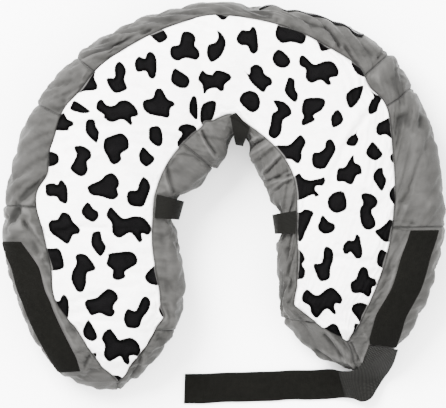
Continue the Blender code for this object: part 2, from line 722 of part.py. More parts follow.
def strap_lines(strip_end):
    """Lines across the strap: middle, heading in degrees, lift and length."""
    section, drops = strip_end
    ends = []
    for lift in (STRIP_GAP, STRIP_GAP + STRIP_THICK):
        ends.extend(side_point(section, "outer", drop, lift)[0:2] for drop in drops)
    ends = np.array(ends)
    end_line = ends[-1] - ends[len(drops)]
    first_heading = math.degrees(math.atan2(end_line[1], end_line[0]))
    last_heading = -90.0 - STRAP_FALL_DEG
    ahead = np.array((end_line[1], -end_line[0])) / np.linalg.norm(end_line)
    start = (ends[-1] + ends[len(drops)]) / 2
    start = start + ahead * (np.max((ends - start) @ ahead) + BUTT_GAP)

    table = np.array(STRAP_TURN)
    steps = np.linalg.norm(np.diff(table[:, 0:2], axis=0), axis=1)
    knots = np.concatenate(([0.0], np.cumsum(steps))) * STRAP_WIDTH
    count = max(4, round(knots[-1] / STRAP_STEP))
    lines = []
    for at in np.linspace(0.0, knots[-1], count + 1):
        x, y, turn, lift, span = curve_through(knots, table, at)
        place = start + STRAP_WIDTH * np.array((x, y))
        heading = first_heading + (last_heading - first_heading) * turn
        lines.append((place, heading, lift * STRAP_WIDTH, span * STRAP_WIDTH))
    fall = math.radians(STRAP_FALL_DEG)
    way = np.array((-math.cos(fall), -math.sin(fall)))
    turned = lines[-1][0]
    count = max(2, round(STRAP_FREE_LENGTH / STRAP_FREE_STEP))
    for k in range(1, count + 1):
        lines.append((turned + way * STRAP_FREE_LENGTH * k / count, last_heading, 0.0, STRAP_WIDTH))
    return lines


def make_strap(collection, panels, strip_end, webbing, tape):
    bpy.context.view_layer.update()
    graph = bpy.context.evaluated_depsgraph_get()
    trees = [BVHTree.FromObject(panels[name], graph) for name in ("outer_end_right", "inner_end_right")]
    lines = strap_lines(strip_end)
    found = heights_under(trees, lines)
    low = []
    for place, heading, lift, span in lines:
        line = []
        for share in np.linspace(-0.5, 0.5, STRAP_LANES + 1):
            plan = place + line_across(heading) * span * share
            z = max(drape(found, plan), lift, FLOOR_LIFT)
            line.append((plan[0], plan[1], z))
        low.append(line)
    low = np.array(low)
    top = low + np.array((0.0, 0.0, STRAP_THICK))
    shell_object("closure_strap", top, low, webbing, collection)

    middle = STRAP_LANES // 2
    first = len(top) - 1
    covered = 0.0
    while covered < TAPE_LENGTH and first > 1:
        first -= 1
        covered += float(np.linalg.norm(top[first + 1, middle] - top[first, middle]))
    hem = TAPE_HEM / STRAP_WIDTH * STRAP_LANES
    lanes = [hem, *range(1, STRAP_LANES), STRAP_LANES - hem]
    tape_low = []
    for line in top[first:]:
        points = []
        for lane in lanes:
            k = min(int(lane), STRAP_LANES - 1)
            points.append(line[k] + (line[k + 1] - line[k]) * (lane - k) + (0.0, 0.0, BUTT_GAP))
        tape_low.append(points)
    tape_low = np.array(tape_low)
    back = tape_low[-2] - tape_low[-1]
    tape_low[-1] += back / np.linalg.norm(back, axis=1, keepdims=True) * TAPE_HEM
    tape_top = tape_low + np.array((0.0, 0.0, TAPE_THICK))
    shell_object("strap_fastening_tape", tape_top, tape_low, tape, collection)


def centre_on_floor(collection):
    """Put the middle of the whole box at the origin, with its lowest point on the floor."""
    corners = np.array([vertex.co for item in collection.objects for vertex in item.data.vertices])
    low = corners.min(axis=0)
    high = corners.max(axis=0)
    shift = Vector((-(low[0] + high[0]) / 2, -(low[1] + high[1]) / 2, -low[2]))
    for item in collection.objects:
        for vertex in item.data.vertices:
            vertex.co += shift
        item.data.update()


def main():
    clear_scene()
    collection = bpy.data.collections.new("inflatable_recovery_collar")
    bpy.context.scene.collection.children.link(collection)
    velour = make_material("grey_velour", VELOUR_GREY, 0.85)
    plush = make_material("white_plush", PLUSH_WHITE, 0.92)
    pile = make_material("black_pile", PILE_BLACK, 0.95)
    webbing = make_material("black_webbing", WEBBING_BLACK, 0.80)
    elastic = make_material("black_elastic", ELASTIC_BLACK, 0.85)
    zip_black = make_material("zip_black", ZIP_BLACK, 0.70)

    panels = make_cover(collection, velour, plush)
    make_loops(collection, elastic)
    ends = {}
    for name, table in STRIPS.items():
        ends[name] = laid_band(name, table, STRIP_WIDTH, STRIP_WIDTH, STRIP_SPANS, STRIP_GAP, STRIP_THICK,
                               pile, collection)
    laid_band("zip_tape", ZIP_RUN, TUBE_HEIGHT, ZIP_WIDTH, 2, LAY_GAP, ZIP_THICK, zip_black, collection)
    teeth_inset = (ZIP_WIDTH - TEETH_WIDTH) / 2
    laid_band("zip_teeth", ZIP_RUN, TUBE_HEIGHT, ZIP_WIDTH, 2, LAY_GAP + ZIP_THICK + BUTT_GAP, TEETH_THICK,
              zip_black, collection, inset=teeth_inset)
    sections, drops = ends["fastening_strip_right"]
    make_strap(collection, panels, (sections[-1], drops[-1]), webbing, pile)
    centre_on_floor(collection)


main()
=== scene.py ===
import math

import bpy
import numpy as np
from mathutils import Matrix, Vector


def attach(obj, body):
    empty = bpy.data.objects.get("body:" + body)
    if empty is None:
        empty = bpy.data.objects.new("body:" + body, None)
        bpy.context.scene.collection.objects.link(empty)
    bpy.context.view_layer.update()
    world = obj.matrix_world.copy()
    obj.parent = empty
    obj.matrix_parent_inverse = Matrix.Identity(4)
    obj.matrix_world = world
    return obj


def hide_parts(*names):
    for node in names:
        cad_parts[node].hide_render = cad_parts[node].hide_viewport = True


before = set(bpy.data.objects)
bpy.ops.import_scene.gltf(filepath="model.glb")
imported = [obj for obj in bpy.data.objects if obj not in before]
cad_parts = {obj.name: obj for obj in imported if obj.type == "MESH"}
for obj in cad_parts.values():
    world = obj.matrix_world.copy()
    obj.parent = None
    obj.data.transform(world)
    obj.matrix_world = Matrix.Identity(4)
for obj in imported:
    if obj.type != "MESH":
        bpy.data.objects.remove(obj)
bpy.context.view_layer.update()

# Camera
# The collar lies on a table and is seen from straight above, through a long lens, so that a
# millimetre of it fills about one pixel right across the picture.
VIEW_WIDTH = 0.446
VIEW_CENTRE = (0.00104, 0.00014)
LENS_HEIGHT = 6.0
SHARP_LEVEL = 0.042
camera_data = bpy.data.cameras.new("camera")
camera_data.sensor_width = 36.0
camera_data.lens = camera_data.sensor_width * (LENS_HEIGHT - SHARP_LEVEL) / VIEW_WIDTH
camera_data.clip_end = 50.0
camera = bpy.data.objects.new("camera", camera_data)
camera.location = (*VIEW_CENTRE, LENS_HEIGHT)
bpy.context.scene.collection.objects.link(camera)
bpy.context.scene.camera = camera


# Studio
# A white sweep of card under the collar, and soft light: a bright room all round, one big
# diffused panel up and to the left behind the neck, and a weaker one from the other side.
class Socket:
    """A shader socket that takes + - * and the like, each of which adds its Math node."""

    def __init__(self, tree, link):
        self.tree = tree
        self.link = link

    def math(self, operation, *others):
        node = self.tree.nodes.new("ShaderNodeMath")
        node.operation = operation
        for slot, value in zip(node.inputs, (self, *others)):
            plug(self.tree, slot, value)
        return Socket(self.tree, node.outputs[0])

    def __add__(self, other):
        return self.math("ADD", other)

    def __sub__(self, other):
        return self.math("SUBTRACT", other)

    def __mul__(self, other):
        return self.math("MULTIPLY", other)

    def __truediv__(self, other):
        return self.math("DIVIDE", other)

    def __rsub__(self, other):
        return (self * -1.0).math("ADD", other)

    __radd__ = __add__
    __rmul__ = __mul__

    def clip(self, low, high):
        return self.math("MAXIMUM", low).math("MINIMUM", high)

    def step(self, start, end):
        """Smooth 0 to 1 as the value goes from start to end."""
        share = ((self - start) / (end - start)).clip(0.0, 1.0)
        return share * share * (3.0 - share * 2.0)


def plug(tree, slot, value):
    if isinstance(value, Socket):
        tree.links.new(value.link, slot)
    elif value is not None:
        slot.default_value = value


class Finish:
    """A material with one Principled shader, and its nodes."""

    def __init__(self, name, **constants):
        self.material = bpy.data.materials.new(name)
        self.material.use_nodes = True
        self.tree = self.material.node_tree
        self.shader = self.tree.nodes["Principled BSDF"]
        self.feed(**constants)

    def feed(self, **values):
        for key, value in values.items():
            plug(self.tree, self.shader.inputs[key.replace("_", " ")], value)

    def node(self, kind, settings=None, output=0, **values):
        node = self.tree.nodes.new("ShaderNode" + kind)
        for key, value in (settings or {}).items():
            setattr(node, key, value)
        for key, value in values.items():
            place = int(key[5:]) if key.startswith("input") else key
            plug(self.tree, node.inputs[place], value)
        return Socket(self.tree, node.outputs[output])

    def number(self, name):
        return self.node("Attribute", {"attribute_name": name}, output=2)

    def vector(self, name):
        return self.node("Attribute", {"attribute_name": name}, output=1)

    def noise(self, place, scale, detail=2.0, roughness=0.5, stretch=None):
        if stretch is not None:
            place = self.node("Mapping", Vector=place, Scale=stretch)
        return self.node("TexNoise", Vector=place, Scale=scale, Detail=detail, Roughness=roughness)

    def blend(self, share, first, second):
        return self.node("Mix", {"data_type": "RGBA"}, output=2, input0=share, input6=first, input7=second)

    def relief(self, height, distance, strength=1.0):
        self.feed(Normal=self.node("Bump", Height=height, Distance=distance, Strength=strength))


bpy.ops.object.select_all(action="DESELECT")
bpy.ops.mesh.primitive_plane_add(size=6.0, location=(0.0, 0.0, -0.0004))
floor = bpy.context.object
floor.name = "floor"
card = Finish("card", Roughness=0.9)
card_place = card.node("TexCoord", output=3)
card_grain = card.noise(card_place, 260.0, 3.0, 0.6)
card.feed(Base_Color=card.blend(card_grain, (0.925, 0.925, 0.925, 1.0), (0.935, 0.935, 0.935, 1.0)))
floor.data.materials.append(card.material)

world = bpy.data.worlds.new("room")
world.use_nodes = True
room = world.node_tree.nodes["Background"]
room.inputs["Color"].default_value = (1.0, 1.0, 1.0, 1.0)
room.inputs["Strength"].default_value = 5.6
bpy.context.scene.world = world
LAMPS = (
    ("panel", (-1.1, 1.3, 1.9), 1.3, 430.0),
    ("filler", (1.6, -0.9, 1.5), 1.8, 70.0),
)
for name, place, size, power in LAMPS:
    lamp_data = bpy.data.lights.new(name, "AREA")
    lamp_data.size = size
    lamp_data.energy = power
    lamp = bpy.data.objects.new(name, lamp_data)
    lamp.location = place
    lamp.rotation_euler = (Vector((0.0, 0.0, 0.03)) - Vector(place)).to_track_quat("-Z", "Y").to_euler()
    bpy.context.scene.collection.objects.link(lamp)


# Paper pattern
# The cover is cut from two cloths, plush for the face and velour for the rest, and sewn panel
# to panel round an air bladder. Cuts across it run from the left end round the back to the
# right end. Lengths are millimetres.
# outer_x, outer_y and inner_x, inner_y: where the cut meets the outer and the neck outline
# face_from, face_to: seams of the face, in shares of the cut; rise: height of the cut
CUTS = np.array((
    (-106.5, -186.4, -101.6, -185.5, 0.50, 0.50, 21.3),
    (-126.1, -184.0, -93.2, -177.9, 0.66, 0.66, 31.9),
    (-145.9, -178.1, -82.7, -170.9, 0.60, 0.76, 42.6),
    (-161.3, -168.4, -73.8, -161.5, 0.50, 0.79, 51.7),
    (-174.5, -152.9, -64.9, -152.1, 0.43, 0.83, 60.8),
    (-192.1, -125.6, -48.1, -126.2, 0.33, 0.87, 69.9),
    (-203.1, -96.4, -40.2, -98.0, 0.23, 0.87, 74.5),
    (-214.1, -61.4, -40.7, -62.8, 0.25, 0.85, 76.0),
    (-218.5, -34.2, -45.4, -36.9, 0.24, 0.86, 76.0),
    (-216.3, -1.1, -44.9, -13.4, 0.20, 0.86, 76.0),
    (-207.5, 43.6, -40.2, 3.0, 0.19, 0.84, 76.0),
    (-185.5, 100.0, -21.8, 21.8, 0.16, 0.79, 76.0),
    (-145.9, 146.7, -9.2, 35.9, 0.13, 0.78, 76.0),
    (-104.1, 173.9, 1.8, 45.3, 0.12, 0.77, 76.0),
    (-62.3, 191.4, 9.7, 54.7, 0.11, 0.78, 76.0),
    (-9.5, 201.1, 13.9, 61.8, 0.09, 0.80, 76.0),
    (38.9, 197.2, 18.6, 64.1, 0.10, 0.86, 76.0),
    (80.7, 189.5, 23.9, 57.1, 0.12, 0.86, 76.0),
    (118.1, 179.7, 29.1, 47.7, 0.16, 0.85, 76.0),
    (148.9, 162.2, 34.4, 38.3, 0.16, 0.84, 76.0),
    (166.5, 150.6, 39.1, 31.2, 0.16, 0.84, 76.0),
    (190.7, 115.6, 44.9, 17.1, 0.18, 0.83, 76.0),
    (210.5, 72.8, 48.5, 5.4, 0.25, 0.84, 76.0),
    (219.3, 24.1, 52.2, -8.7, 0.28, 0.86, 76.0),
    (221.5, -22.5, 54.8, -25.2, 0.31, 0.88, 76.0),
    (217.1, -51.7, 56.9, -51.0, 0.33, 0.88, 74.5),
    (208.3, -84.8, 56.9, -79.2, 0.36, 0.88, 71.4),
    (195.1, -114.0, 59.0, -102.7, 0.39, 0.87, 63.8),
    (184.1, -133.4, 62.2, -114.5, 0.41, 0.72, 54.7),
    (175.3, -143.1, 70.1, -128.6, 0.46, 0.51, 47.1),
    (168.7, -150.9, 84.2, -142.7, 0.46, 0.46, 39.5),
    (157.7, -158.7, 103.1, -156.8, 0.47, 0.47, 31.9),
    (148.9, -166.5, 123.1, -163.8, 0.50, 0.50, 25.8),
    (140.4, -168.7, 135.5, -168.2, 0.50, 0.50, 19.8),
))
FACE_CUTS = (1, 29)
# Places where a face seam strays from its smooth line: edge, cut, reach in mm, shift in mm
# towards the neck
SEAM_STRAYS = (
    ("outer", 9.30, 16.0, -4.5),
    ("outer", 9.85, 9.0, 4.0),
    ("outer", 11.10, 12.0, -2.0),
    ("outer", 11.65, 12.0, 2.0),
    ("outer", 20.30, 12.0, 8.0),
    ("inner", 5.50, 12.0, 5.0),
    ("inner", 13.45, 10.0, -2.8),
    ("inner", 26.90, 8.0, 2.0),
)
SIDE_PANELS = (
    ("outer_end_left", "outer", 0, 9),
    ("outer_side_left", "outer", 9, 11),
    ("outer_insert_left", "outer", 11, 12),
    ("outer_side_back", "outer", 12, 20),
    ("outer_insert_right", "outer", 20, 21),
    ("outer_side_right", "outer", 21, 24),
    ("outer_end_right", "outer", 24, 33),
    ("inner_end_left", "inner", 0, 5),
    ("inner_side_left", "inner", 5, 12),
    ("inner_side_right", "inner", 12, 28),
    ("inner_end_right", "inner", 28, 33),
)
SEAM_RISE = 0.86
MIDDLE_RISE = 0.47
SIDE_FULLNESS = 0.55
SHOULDER_FULLNESS = 0.80
UNDERSIDE_TUCK = 0.55
UNDERSIDE_LIP = 3.0


def smooth_through(knots, values, at):
    """Smooth curve through rows of values at knots, read at many places."""
    k = np.clip(np.searchsorted(knots, at, side="right") - 1, 0, len(knots) - 2)
    gaps = np.diff(knots)[:, None]
    chords = np.diff(values, axis=0) / gaps
    slopes = np.empty_like(values)
    slopes[0] = chords[0]
    slopes[-1] = chords[-1]
    slopes[1:-1] = (chords[:-1] * gaps[1:] + chords[1:] * gaps[:-1]) / (gaps[1:] + gaps[:-1])
    span = gaps[k]
    t = ((at - knots[k]) / span[:, 0])[:, None]
    return (
        (2 * t**3 - 3 * t**2 + 1) * values[k]
        + (t**3 - 2 * t**2 + t) * span * slopes[k]
        + (-2 * t**3 + 3 * t**2) * values[k + 1]
        + (t**3 - t**2) * span * slopes[k + 1]
    )


middles = (CUTS[:, 0:2] + CUTS[:, 2:4]) / 2
RUN = np.concatenate(([0.0], np.cumsum(np.linalg.norm(np.diff(middles, axis=0), axis=1))))


def run_of(cut):
    return np.interp(cut, np.arange(len(RUN)), RUN)


def shares(columns, closer):
    """Even shares from 0 to 1, drawn closer together at both ends, where the seams are."""
    even = np.linspace(0.0, 1.0, columns + 1)
    return even - closer / (2 * math.pi) * np.sin(2 * math.pi * even)


class Pattern:
    """The cuts at many stations, as arrays."""

    def __init__(self, runs):
        values = smooth_through(RUN, CUTS, runs)
        self.runs = runs
        self.cut = np.interp(runs, RUN, np.arange(len(RUN)))
        self.start = values[:, 0:2]
        reach = values[:, 2:4] - self.start
        self.width = np.linalg.norm(reach, axis=1)
        self.across = reach / self.width[:, None]
        self.height = values[:, 6]
        on_face = (self.cut >= FACE_CUTS[0] - 1e-6) & (self.cut <= FACE_CUTS[1] + 1e-6)
        low = values[:, 4] * self.width
        high = values[:, 5] * self.width
        for edge, cut, reach_mm, shift in SEAM_STRAYS:
            away = (runs - run_of(cut)) / reach_mm * (1.0 if edge == "outer" else 1.6)
            if edge == "outer":
                low = low + shift * np.exp(-away**2)
            else:
                high = high + shift * np.exp(-away**2)
        middle = (low + high) / 2
        half = np.where(on_face, np.maximum((high - low) / 2, 0.6), 0.0)
        self.face = (middle - half, middle + half)
        self.seam_z = SEAM_RISE * self.height
        self.middle_z = MIDDLE_RISE * self.height

    def points(self, along, z):
        plan = self.start[:, None, :] + self.across[:, None, :] * along[:, :, None]
        return np.concatenate((plan, z[:, :, None]), axis=2)

    def side(self, side, columns):
        """A side band from the face seam down to the underside seam."""
        drop = np.linspace(0.0, 1.0, 161)
        angle = math.pi / 2 - math.pi * drop
        sine = np.sin(angle)
        fullness = np.abs(np.cos(angle)) ** SIDE_FULLNESS
        fullness[[0, -1]] = 0.0
        seam = self.face[0] if side == "outer" else self.width - self.face[1]
        tuck = np.where(sine < 0.0, UNDERSIDE_TUCK, 1.0)
        inset = seam[:, None] * tuck * (1.0 - fullness)
        above = (self.seam_z - self.middle_z)[:, None]
        up = np.where(sine < 0.0, UNDERSIDE_LIP - self.middle_z[:, None], above)
        z = self.middle_z[:, None] + up * np.abs(sine) ** SHOULDER_FULLNESS
        length = np.hypot(np.diff(inset, axis=1), np.diff(z, axis=1))
        length = np.concatenate((np.zeros((len(z), 1)), np.cumsum(length, axis=1)), axis=1)
        along = np.empty((len(z), columns + 1))
        level = np.empty_like(along)
        for i in range(len(z)):
            wanted = shares(columns, 0.35) * length[i, -1]
            along[i] = np.interp(wanted, length[i], inset[i])
            level[i] = np.interp(wanted, length[i], z[i])
        if side == "inner":
            along = self.width[:, None] - along
        return self.points(along, level)

    def top(self, columns):
        share = shares(columns, 0.3)[None, :]
        low, high = (edge[:, None] for edge in self.face)
        bow = 1.0 - np.abs(2.0 * share - 1.0) ** 2.4
        fullness = np.minimum(1.0, (high - low) / 38.0)
        crown = (self.height - self.seam_z)[:, None] * fullness * bow
        return self.points(low + (high - low) * share, self.seam_z[:, None] + crown)

    def under(self, columns):
        share = np.linspace(1.0, 0.0, columns + 1)[None, :]
        low = (self.face[0] * UNDERSIDE_TUCK)[:, None]
        high = (self.width - (self.width - self.face[1]) * UNDERSIDE_TUCK)[:, None]
        edge = np.minimum(share, 1.0 - share) / 0.07
        z = UNDERSIDE_LIP * (1.0 - np.clip(edge, 0.0, 1.0)) ** 2
        return self.points(low + (high - low) * share, z + 0.0 * low)


FACE_COLUMNS = 80
SIDE_COLUMNS = 64
UNDER_COLUMNS = 12
STATIONS = 621
UNDER_FROM = FACE_COLUMNS + SIDE_COLUMNS
OUTER_FROM = UNDER_FROM + UNDER_COLUMNS
runs = np.linspace(0.0, RUN[-1], STATIONS)
for cut in sorted({*FACE_CUTS, *(cut for panel in SIDE_PANELS for cut in panel[2:])}):
    runs[np.argmin(np.abs(runs - run_of(cut)))] = run_of(cut)
pattern = Pattern(runs)
cloth = np.concatenate((
    pattern.top(FACE_COLUMNS),
    pattern.side("inner", SIDE_COLUMNS)[:, 1:-1],
    pattern.under(UNDER_COLUMNS),
    pattern.side("outer", SIDE_COLUMNS)[:, -2:0:-1],
), axis=1)
RING = cloth.shape[1]
COLUMNS = {
    "face": list(range(0, FACE_COLUMNS + 1)),
    "inner": list(range(FACE_COLUMNS, UNDER_FROM + 1)),
    "under": list(range(UNDER_FROM, OUTER_FROM + 1)),
    "outer": [0, *range(RING - 1, OUTER_FROM - 1, -1)],
}


def row_at(cut):
    return int(np.argmin(np.abs(runs - run_of(cut))))


def rows_between(first, last):
    return slice(row_at(first), row_at(last) + 1)


def length_along(points, axis):
    """How far along its rows or columns each point of a grid lies."""
    steps = np.linalg.norm(np.diff(points, axis=axis), axis=2)
    return np.insert(np.cumsum(steps, axis=axis), 0, 0.0, axis=axis)


def outward(points):
    """Directions square to a grid that closes on itself round each cut."""
    along = np.gradient(points, axis=0)
    round_it = np.roll(points, -1, axis=1) - np.roll(points, 1, axis=1)
    square = np.cross(round_it, along)
    return square / np.maximum(np.linalg.norm(square, axis=2, keepdims=True), 1e-12)


# Sewing and filling
# The panels are stitched together inside out and turned, so every seam lies in a small valley
# with the cloth gathered beside it. The bladder is then blown up inside, which stretches the
# crowns and leaves slack folds in the velour. Sewn-on bands keep the cloth under them flat.
# Folds are marked in points from the pattern sheet's upper left corner, to the right and down.
SHEET_CORNER = (-221.96, 204.14)
SEAM_DIP = 1.3
SEAM_SPREAD = 1.5
HELD_FADE = 5.0
STRIP_WIDTH = 30.0
# Pile strips: cut, and how far below the face seam the upper edge lies, in strip widths
STRIPS = {
    "fastening_strip_left": (
        (3.0, 0.80), (4.0, 0.60), (5.0, 0.50), (6.0, 0.18), (7.0, 0.40), (7.9, 0.80)),
    "fastening_strip_right": (
        (24.1, 0.62), (25.0, 0.48), (26.0, 0.52), (27.0, 0.38), (28.0, 0.50), (29.0, 0.70)),
}
LOOP_WIDTH = 24.0
LOOP_ROOM = 9.5
LOOP_HOLLOW = 0.72
LOOPS = (("loop_left", 9.45), ("loop_back", 15.75), ("loop_right", 23.70))
# The ridge that a fold pushes up beside it: place, width and reach in widths of the fold, and height
RIDGE_AWAY = 1.9
RIDGE_WIDTH = 1.3
RIDGE_REACH = 3.2
RIDGE_HEIGHT = 0.55
# band, width, depth (a ridge below 0), side of the ridge beside it, points
FOLDS = (
    ("outer", 2.0, 2.8, -1, (82, 58, 100, 51, 115, 45, 130, 39, 150, 31)),
    ("outer", 1.3, 1.3, 1, (90, 71, 84, 80)),
    ("outer", 4.0, 1.6, -1, (38, 113, 50, 109, 60, 111)),
    ("outer", 4.2, 4.2, 1, (45, 178, 34, 189, 23, 199, 13, 219)),
    ("outer", 3.4, 2.8, 1, (20, 209, 29, 234, 38, 252)),
    ("outer", 2.0, 2.2, 0, (25, 222, 45, 251, 50, 263)),
    ("outer", 2.4, -1.8, 0, (35, 256, 50, 296, 60, 318, 72, 344, 79, 369)),
    ("outer", 2.8, 1.7, 0, (45, 262, 57, 294, 69, 321, 82, 345)),
    ("outer", 2.0, 1.4, 0, (74, 354, 84, 351, 92, 345)),
    ("outer", 1.6, 1.6, -1, (80, 375, 85, 367, 90, 356)),
    ("outer", 2.0, -1.2, 0, (72, 382, 90, 388, 112, 391)),
    ("outer", 3.2, 3.4, 0, (248, 6, 258, 9, 270, 15)),
    ("outer", 3.4, -2.4, 0, (268, 15, 285, 21, 301, 27, 318, 35, 334, 45)),
    ("outer", 1.6, 2.2, 0, (276, 21, 290, 26, 305, 33, 320, 41, 332, 49)),
    ("outer", 1.8, 2.6, 0, (284, 12, 300, 19, 315, 26, 326, 30)),
    ("outer", 2.2, 3.6, 1, (326, 26, 333, 36, 339, 46)),
    ("outer", 2.2, 2.0, -1, (338, 37, 348, 52, 360, 70)),
    ("outer", 1.6, 1.8, 1, (371, 73, 376, 61, 384, 49)),
    ("outer", 2.4, 1.6, 1, (352, 32, 366, 48, 378, 57)),
    ("outer", 5.0, 1.2, 1, (401, 118, 404, 160, 404, 200)),
    ("outer", 3.0, 1.4, -1, (418, 100, 426, 140, 429, 180)),
    ("outer", 1.3, 1.8, 0, (392, 221, 406, 222, 415, 224)),
    ("outer", 1.3, 1.8, 0, (393, 228, 406, 231, 412, 229)),
    ("outer", 2.6, -1.9, 0, (407, 240, 395, 265, 389, 290, 380, 311, 373, 320)),
    ("outer", 3.0, 1.4, 0, (398, 240, 388, 270, 380, 296, 369, 314)),
    ("outer", 1.5, -1.6, 0, (363, 331, 369, 342, 361, 363)),
    ("outer", 1.5, 2.2, 1, (351, 343, 356, 353, 361, 363)),
    ("inner", 1.6, 3.4, -1, (202, 131, 208, 143, 216, 154)),
    ("inner", 2.4, 2.6, -1, (167, 167, 170, 179, 175, 193)),
    ("inner", 1.6, 3.6, 0, (249, 149, 258, 143, 268, 137)),
    ("inner", 1.6, -1.6, 0, (246, 144, 256, 138, 265, 133)),
    ("inner", 1.6, -1.6, 0, (252, 154, 262, 148, 271, 142)),
    ("inner", 1.8, 2.8, 1, (266, 173, 275, 164, 284, 155)),
    ("inner", 1.8, 2.4, -1, (264, 182, 278, 178, 292, 175)),
    ("inner", 1.8, 2.0, 1, (242, 127, 252, 131, 260, 136)),
    ("inner", 1.6, 2.0, 1, (275, 191, 284, 184, 292, 180)),
    ("inner", 1.6, 2.2, -1, (275, 178, 288, 171)),
    ("inner", 2.2, 1.8, 1, (258, 161, 266, 155, 276, 147)),
    ("inner", 3.0, 2.0, 1, (170, 217, 178, 232, 177, 242)),
    ("inner", 4.0, 1.3, 0, (161, 224, 165, 260, 168, 298)),
    ("inner", 2.2, 3.0, -1, (284, 216, 283, 226, 280, 240)),
    ("inner", 1.6, -1.6, 0, (291, 212, 287, 225, 283, 238)),
    ("inner", 2.6, 1.9, 1, (164, 300, 171, 318, 165, 332)),
    ("inner", 2.2, 2.8, 1, (141, 357, 138, 368, 130, 381)),
    ("inner", 2.2, 2.6, 1, (324, 335, 333, 345, 342, 358)),
    ("inner", 1.8, 2.0, -1, (333, 332, 341, 341, 351, 353)),
    ("inner", 1.5, -1.7, 0, (320, 349, 338, 359, 359, 367)),
    ("inner", 1.8, 2.2, 0, (316, 351, 336, 364, 353, 370)),
    ("inner", 3.5, 1.4, 1, (300, 320, 312, 338, 318, 350)),
    ("inner", 3.0, 1.5, -1, (286, 250, 290, 280, 288, 305)),
    ("face", 2.6, 1.0, 0, (201, 70, 204, 95, 212, 125)),
    ("face", 4.0, 1.8, -1, (366, 115, 355, 131, 344, 149, 334, 172, 330, 198)),
    ("face", 3.0, 0.9, 0, (139, 89, 156, 101)),
    ("face", 4.0, 1.0, 1, (60, 232, 84, 226, 104, 229)),
    ("face", 4.0, 0.9, -1, (318, 262, 340, 258, 362, 262)),
)
rest = cloth
rest_normals = outward(rest)


def far_from(plan, marks):
    """Distance of points from a line of marks on the pattern sheet, above 0 on its left."""
    marks = np.array(marks, dtype=float).reshape(-1, 2) * (1.0, -1.0) + SHEET_CORNER
    nearest = np.full(plan.shape[:-1], 1e9)
    away = np.zeros_like(nearest)
    for start, end in zip(marks[:-1], marks[1:]):
        way = end - start
        offset = plan - start
        share = np.clip(offset @ way / (way @ way), 0.0, 1.0)
        gap = np.linalg.norm(offset - share[..., None] * way, axis=-1)
        left = way[0] * offset[..., 1] - way[1] * offset[..., 0]
        away = np.where(gap < nearest, np.where(left < 0.0, -gap, gap), away)
        nearest = np.minimum(nearest, gap)
    return nearest, away


def waves(along, across, size, seed):
    """Uneven ripples about one size from crest to crest, the same each time."""
    chance = np.random.default_rng(seed)
    total = np.zeros(np.broadcast(along, across).shape)
    for _ in range(14):
        heading = chance.uniform(0.0, 2 * math.pi)
        pace = 2 * math.pi / (size * chance.uniform(0.7, 1.5))
        shift = chance.uniform(0.0, 2 * math.pi)
        total += np.sin(pace * (along * math.cos(heading) + across * math.sin(heading)) + shift)
    return total / math.sqrt(14.0)


def seam_distances():
    """How far every point of the cover lies from the nearest seam."""
    found = np.full(rest.shape[:2], 40.0)
    for name, columns in COLUMNS.items():
        length = length_along(rest[:, columns], 1)
        near = np.minimum(length, length[:, -1:] - length)
        if name in ("outer", "inner"):
            down = length_along(rest[:, columns], 0)
            for _, side, first, last in SIDE_PANELS:
                for cut in (first, last):
                    if side == name and 0 < cut < len(RUN) - 1:
                        near = np.minimum(near, np.abs(down - down[row_at(cut)]))
        found[:, columns] = np.minimum(found[:, columns], near)
    return found


def held_flat():
    """1 where a sewn-on band holds the cloth, 0 away from the bands."""
    held = np.zeros(rest.shape[:2])
    columns = COLUMNS["outer"]
    arc = length_along(rest[:, columns], 1)
    for table in STRIPS.values():
        cuts, edges = np.array(table).T
        upper = np.interp(pattern.cut, cuts, edges)[:, None] * STRIP_WIDTH
        inside = np.minimum(arc - upper, upper + STRIP_WIDTH - arc)
        ends = np.minimum(runs - run_of(cuts[0]), run_of(cuts[-1]) - runs)[:, None]
        grip = np.clip(1.0 + np.minimum(inside, ends) / HELD_FADE, 0.0, 1.0)
        held[:, columns] = np.maximum(held[:, columns], grip)
    return held


seam_gap = seam_distances()
held = held_flat()
loose = np.clip(seam_gap / 4.0, 0.0, 1.0) * (1.0 - held)
push = np.zeros(rest.shape[:2])
crease = np.zeros_like(push)
for band, width, depth, lean, marks in FOLDS:
    columns = COLUMNS[band]
    nearest, away = far_from(rest[:, columns, :2], marks)
    fold = np.exp(-(nearest / width) ** 2)
    aside = (away - lean * RIDGE_AWAY * width) / (RIDGE_WIDTH * width)
    ridge = np.exp(-(aside**2)) if lean else 0.0
    ridge = ridge * np.exp(-((nearest / (RIDGE_REACH * width)) ** 4))
    if band != "face":
        upper = np.clip(rest[:, columns, 2] / pattern.middle_z[:, None] * 2.0 - 1.2, 0.0, 1.0)
        fold = fold * upper
        ridge = ridge * upper
    push[:, columns] += depth * (RIDGE_HEIGHT * ridge - fold)
    crease[:, columns] += depth * (0.5 * ridge - fold)
along = length_along(rest, 0)
for band, broad, fine in (("outer", 0.8, 0.35), ("inner", 0.9, 0.45), ("face", 0.35, 0.12)):
    columns = COLUMNS[band]
    arc = length_along(rest[:, columns], 1)
    run = along[:, columns]
    push[:, columns] += broad * waves(run, arc * 0.7, 27.0, 3) + fine * waves(run, arc * 0.6, 11.0, 4)
    if band != "face":
        gathers = waves(run, arc * 0.25, 7.5, 5) * np.exp(-seam_gap[:, columns] / 8.0)
        push[:, columns] += (1.0 if band == "inner" else 0.5) * gathers
columns = COLUMNS["inner"]
arc = length_along(rest[:, columns], 1)
inner_run = along[:, columns[SIDE_COLUMNS // 2]]
for _, cut in LOOPS:
    away = (inner_run - inner_run[row_at(cut)]) / (LOOP_WIDTH * LOOP_HOLLOW)
    push[:, columns] -= LOOP_ROOM * np.exp(-away**4)[:, None] * np.sin(math.pi * arc / arc[:, -1:])
push *= loose
push -= SEAM_DIP * np.exp(-((seam_gap / SEAM_SPREAD) ** 2)) * (1.0 - held)
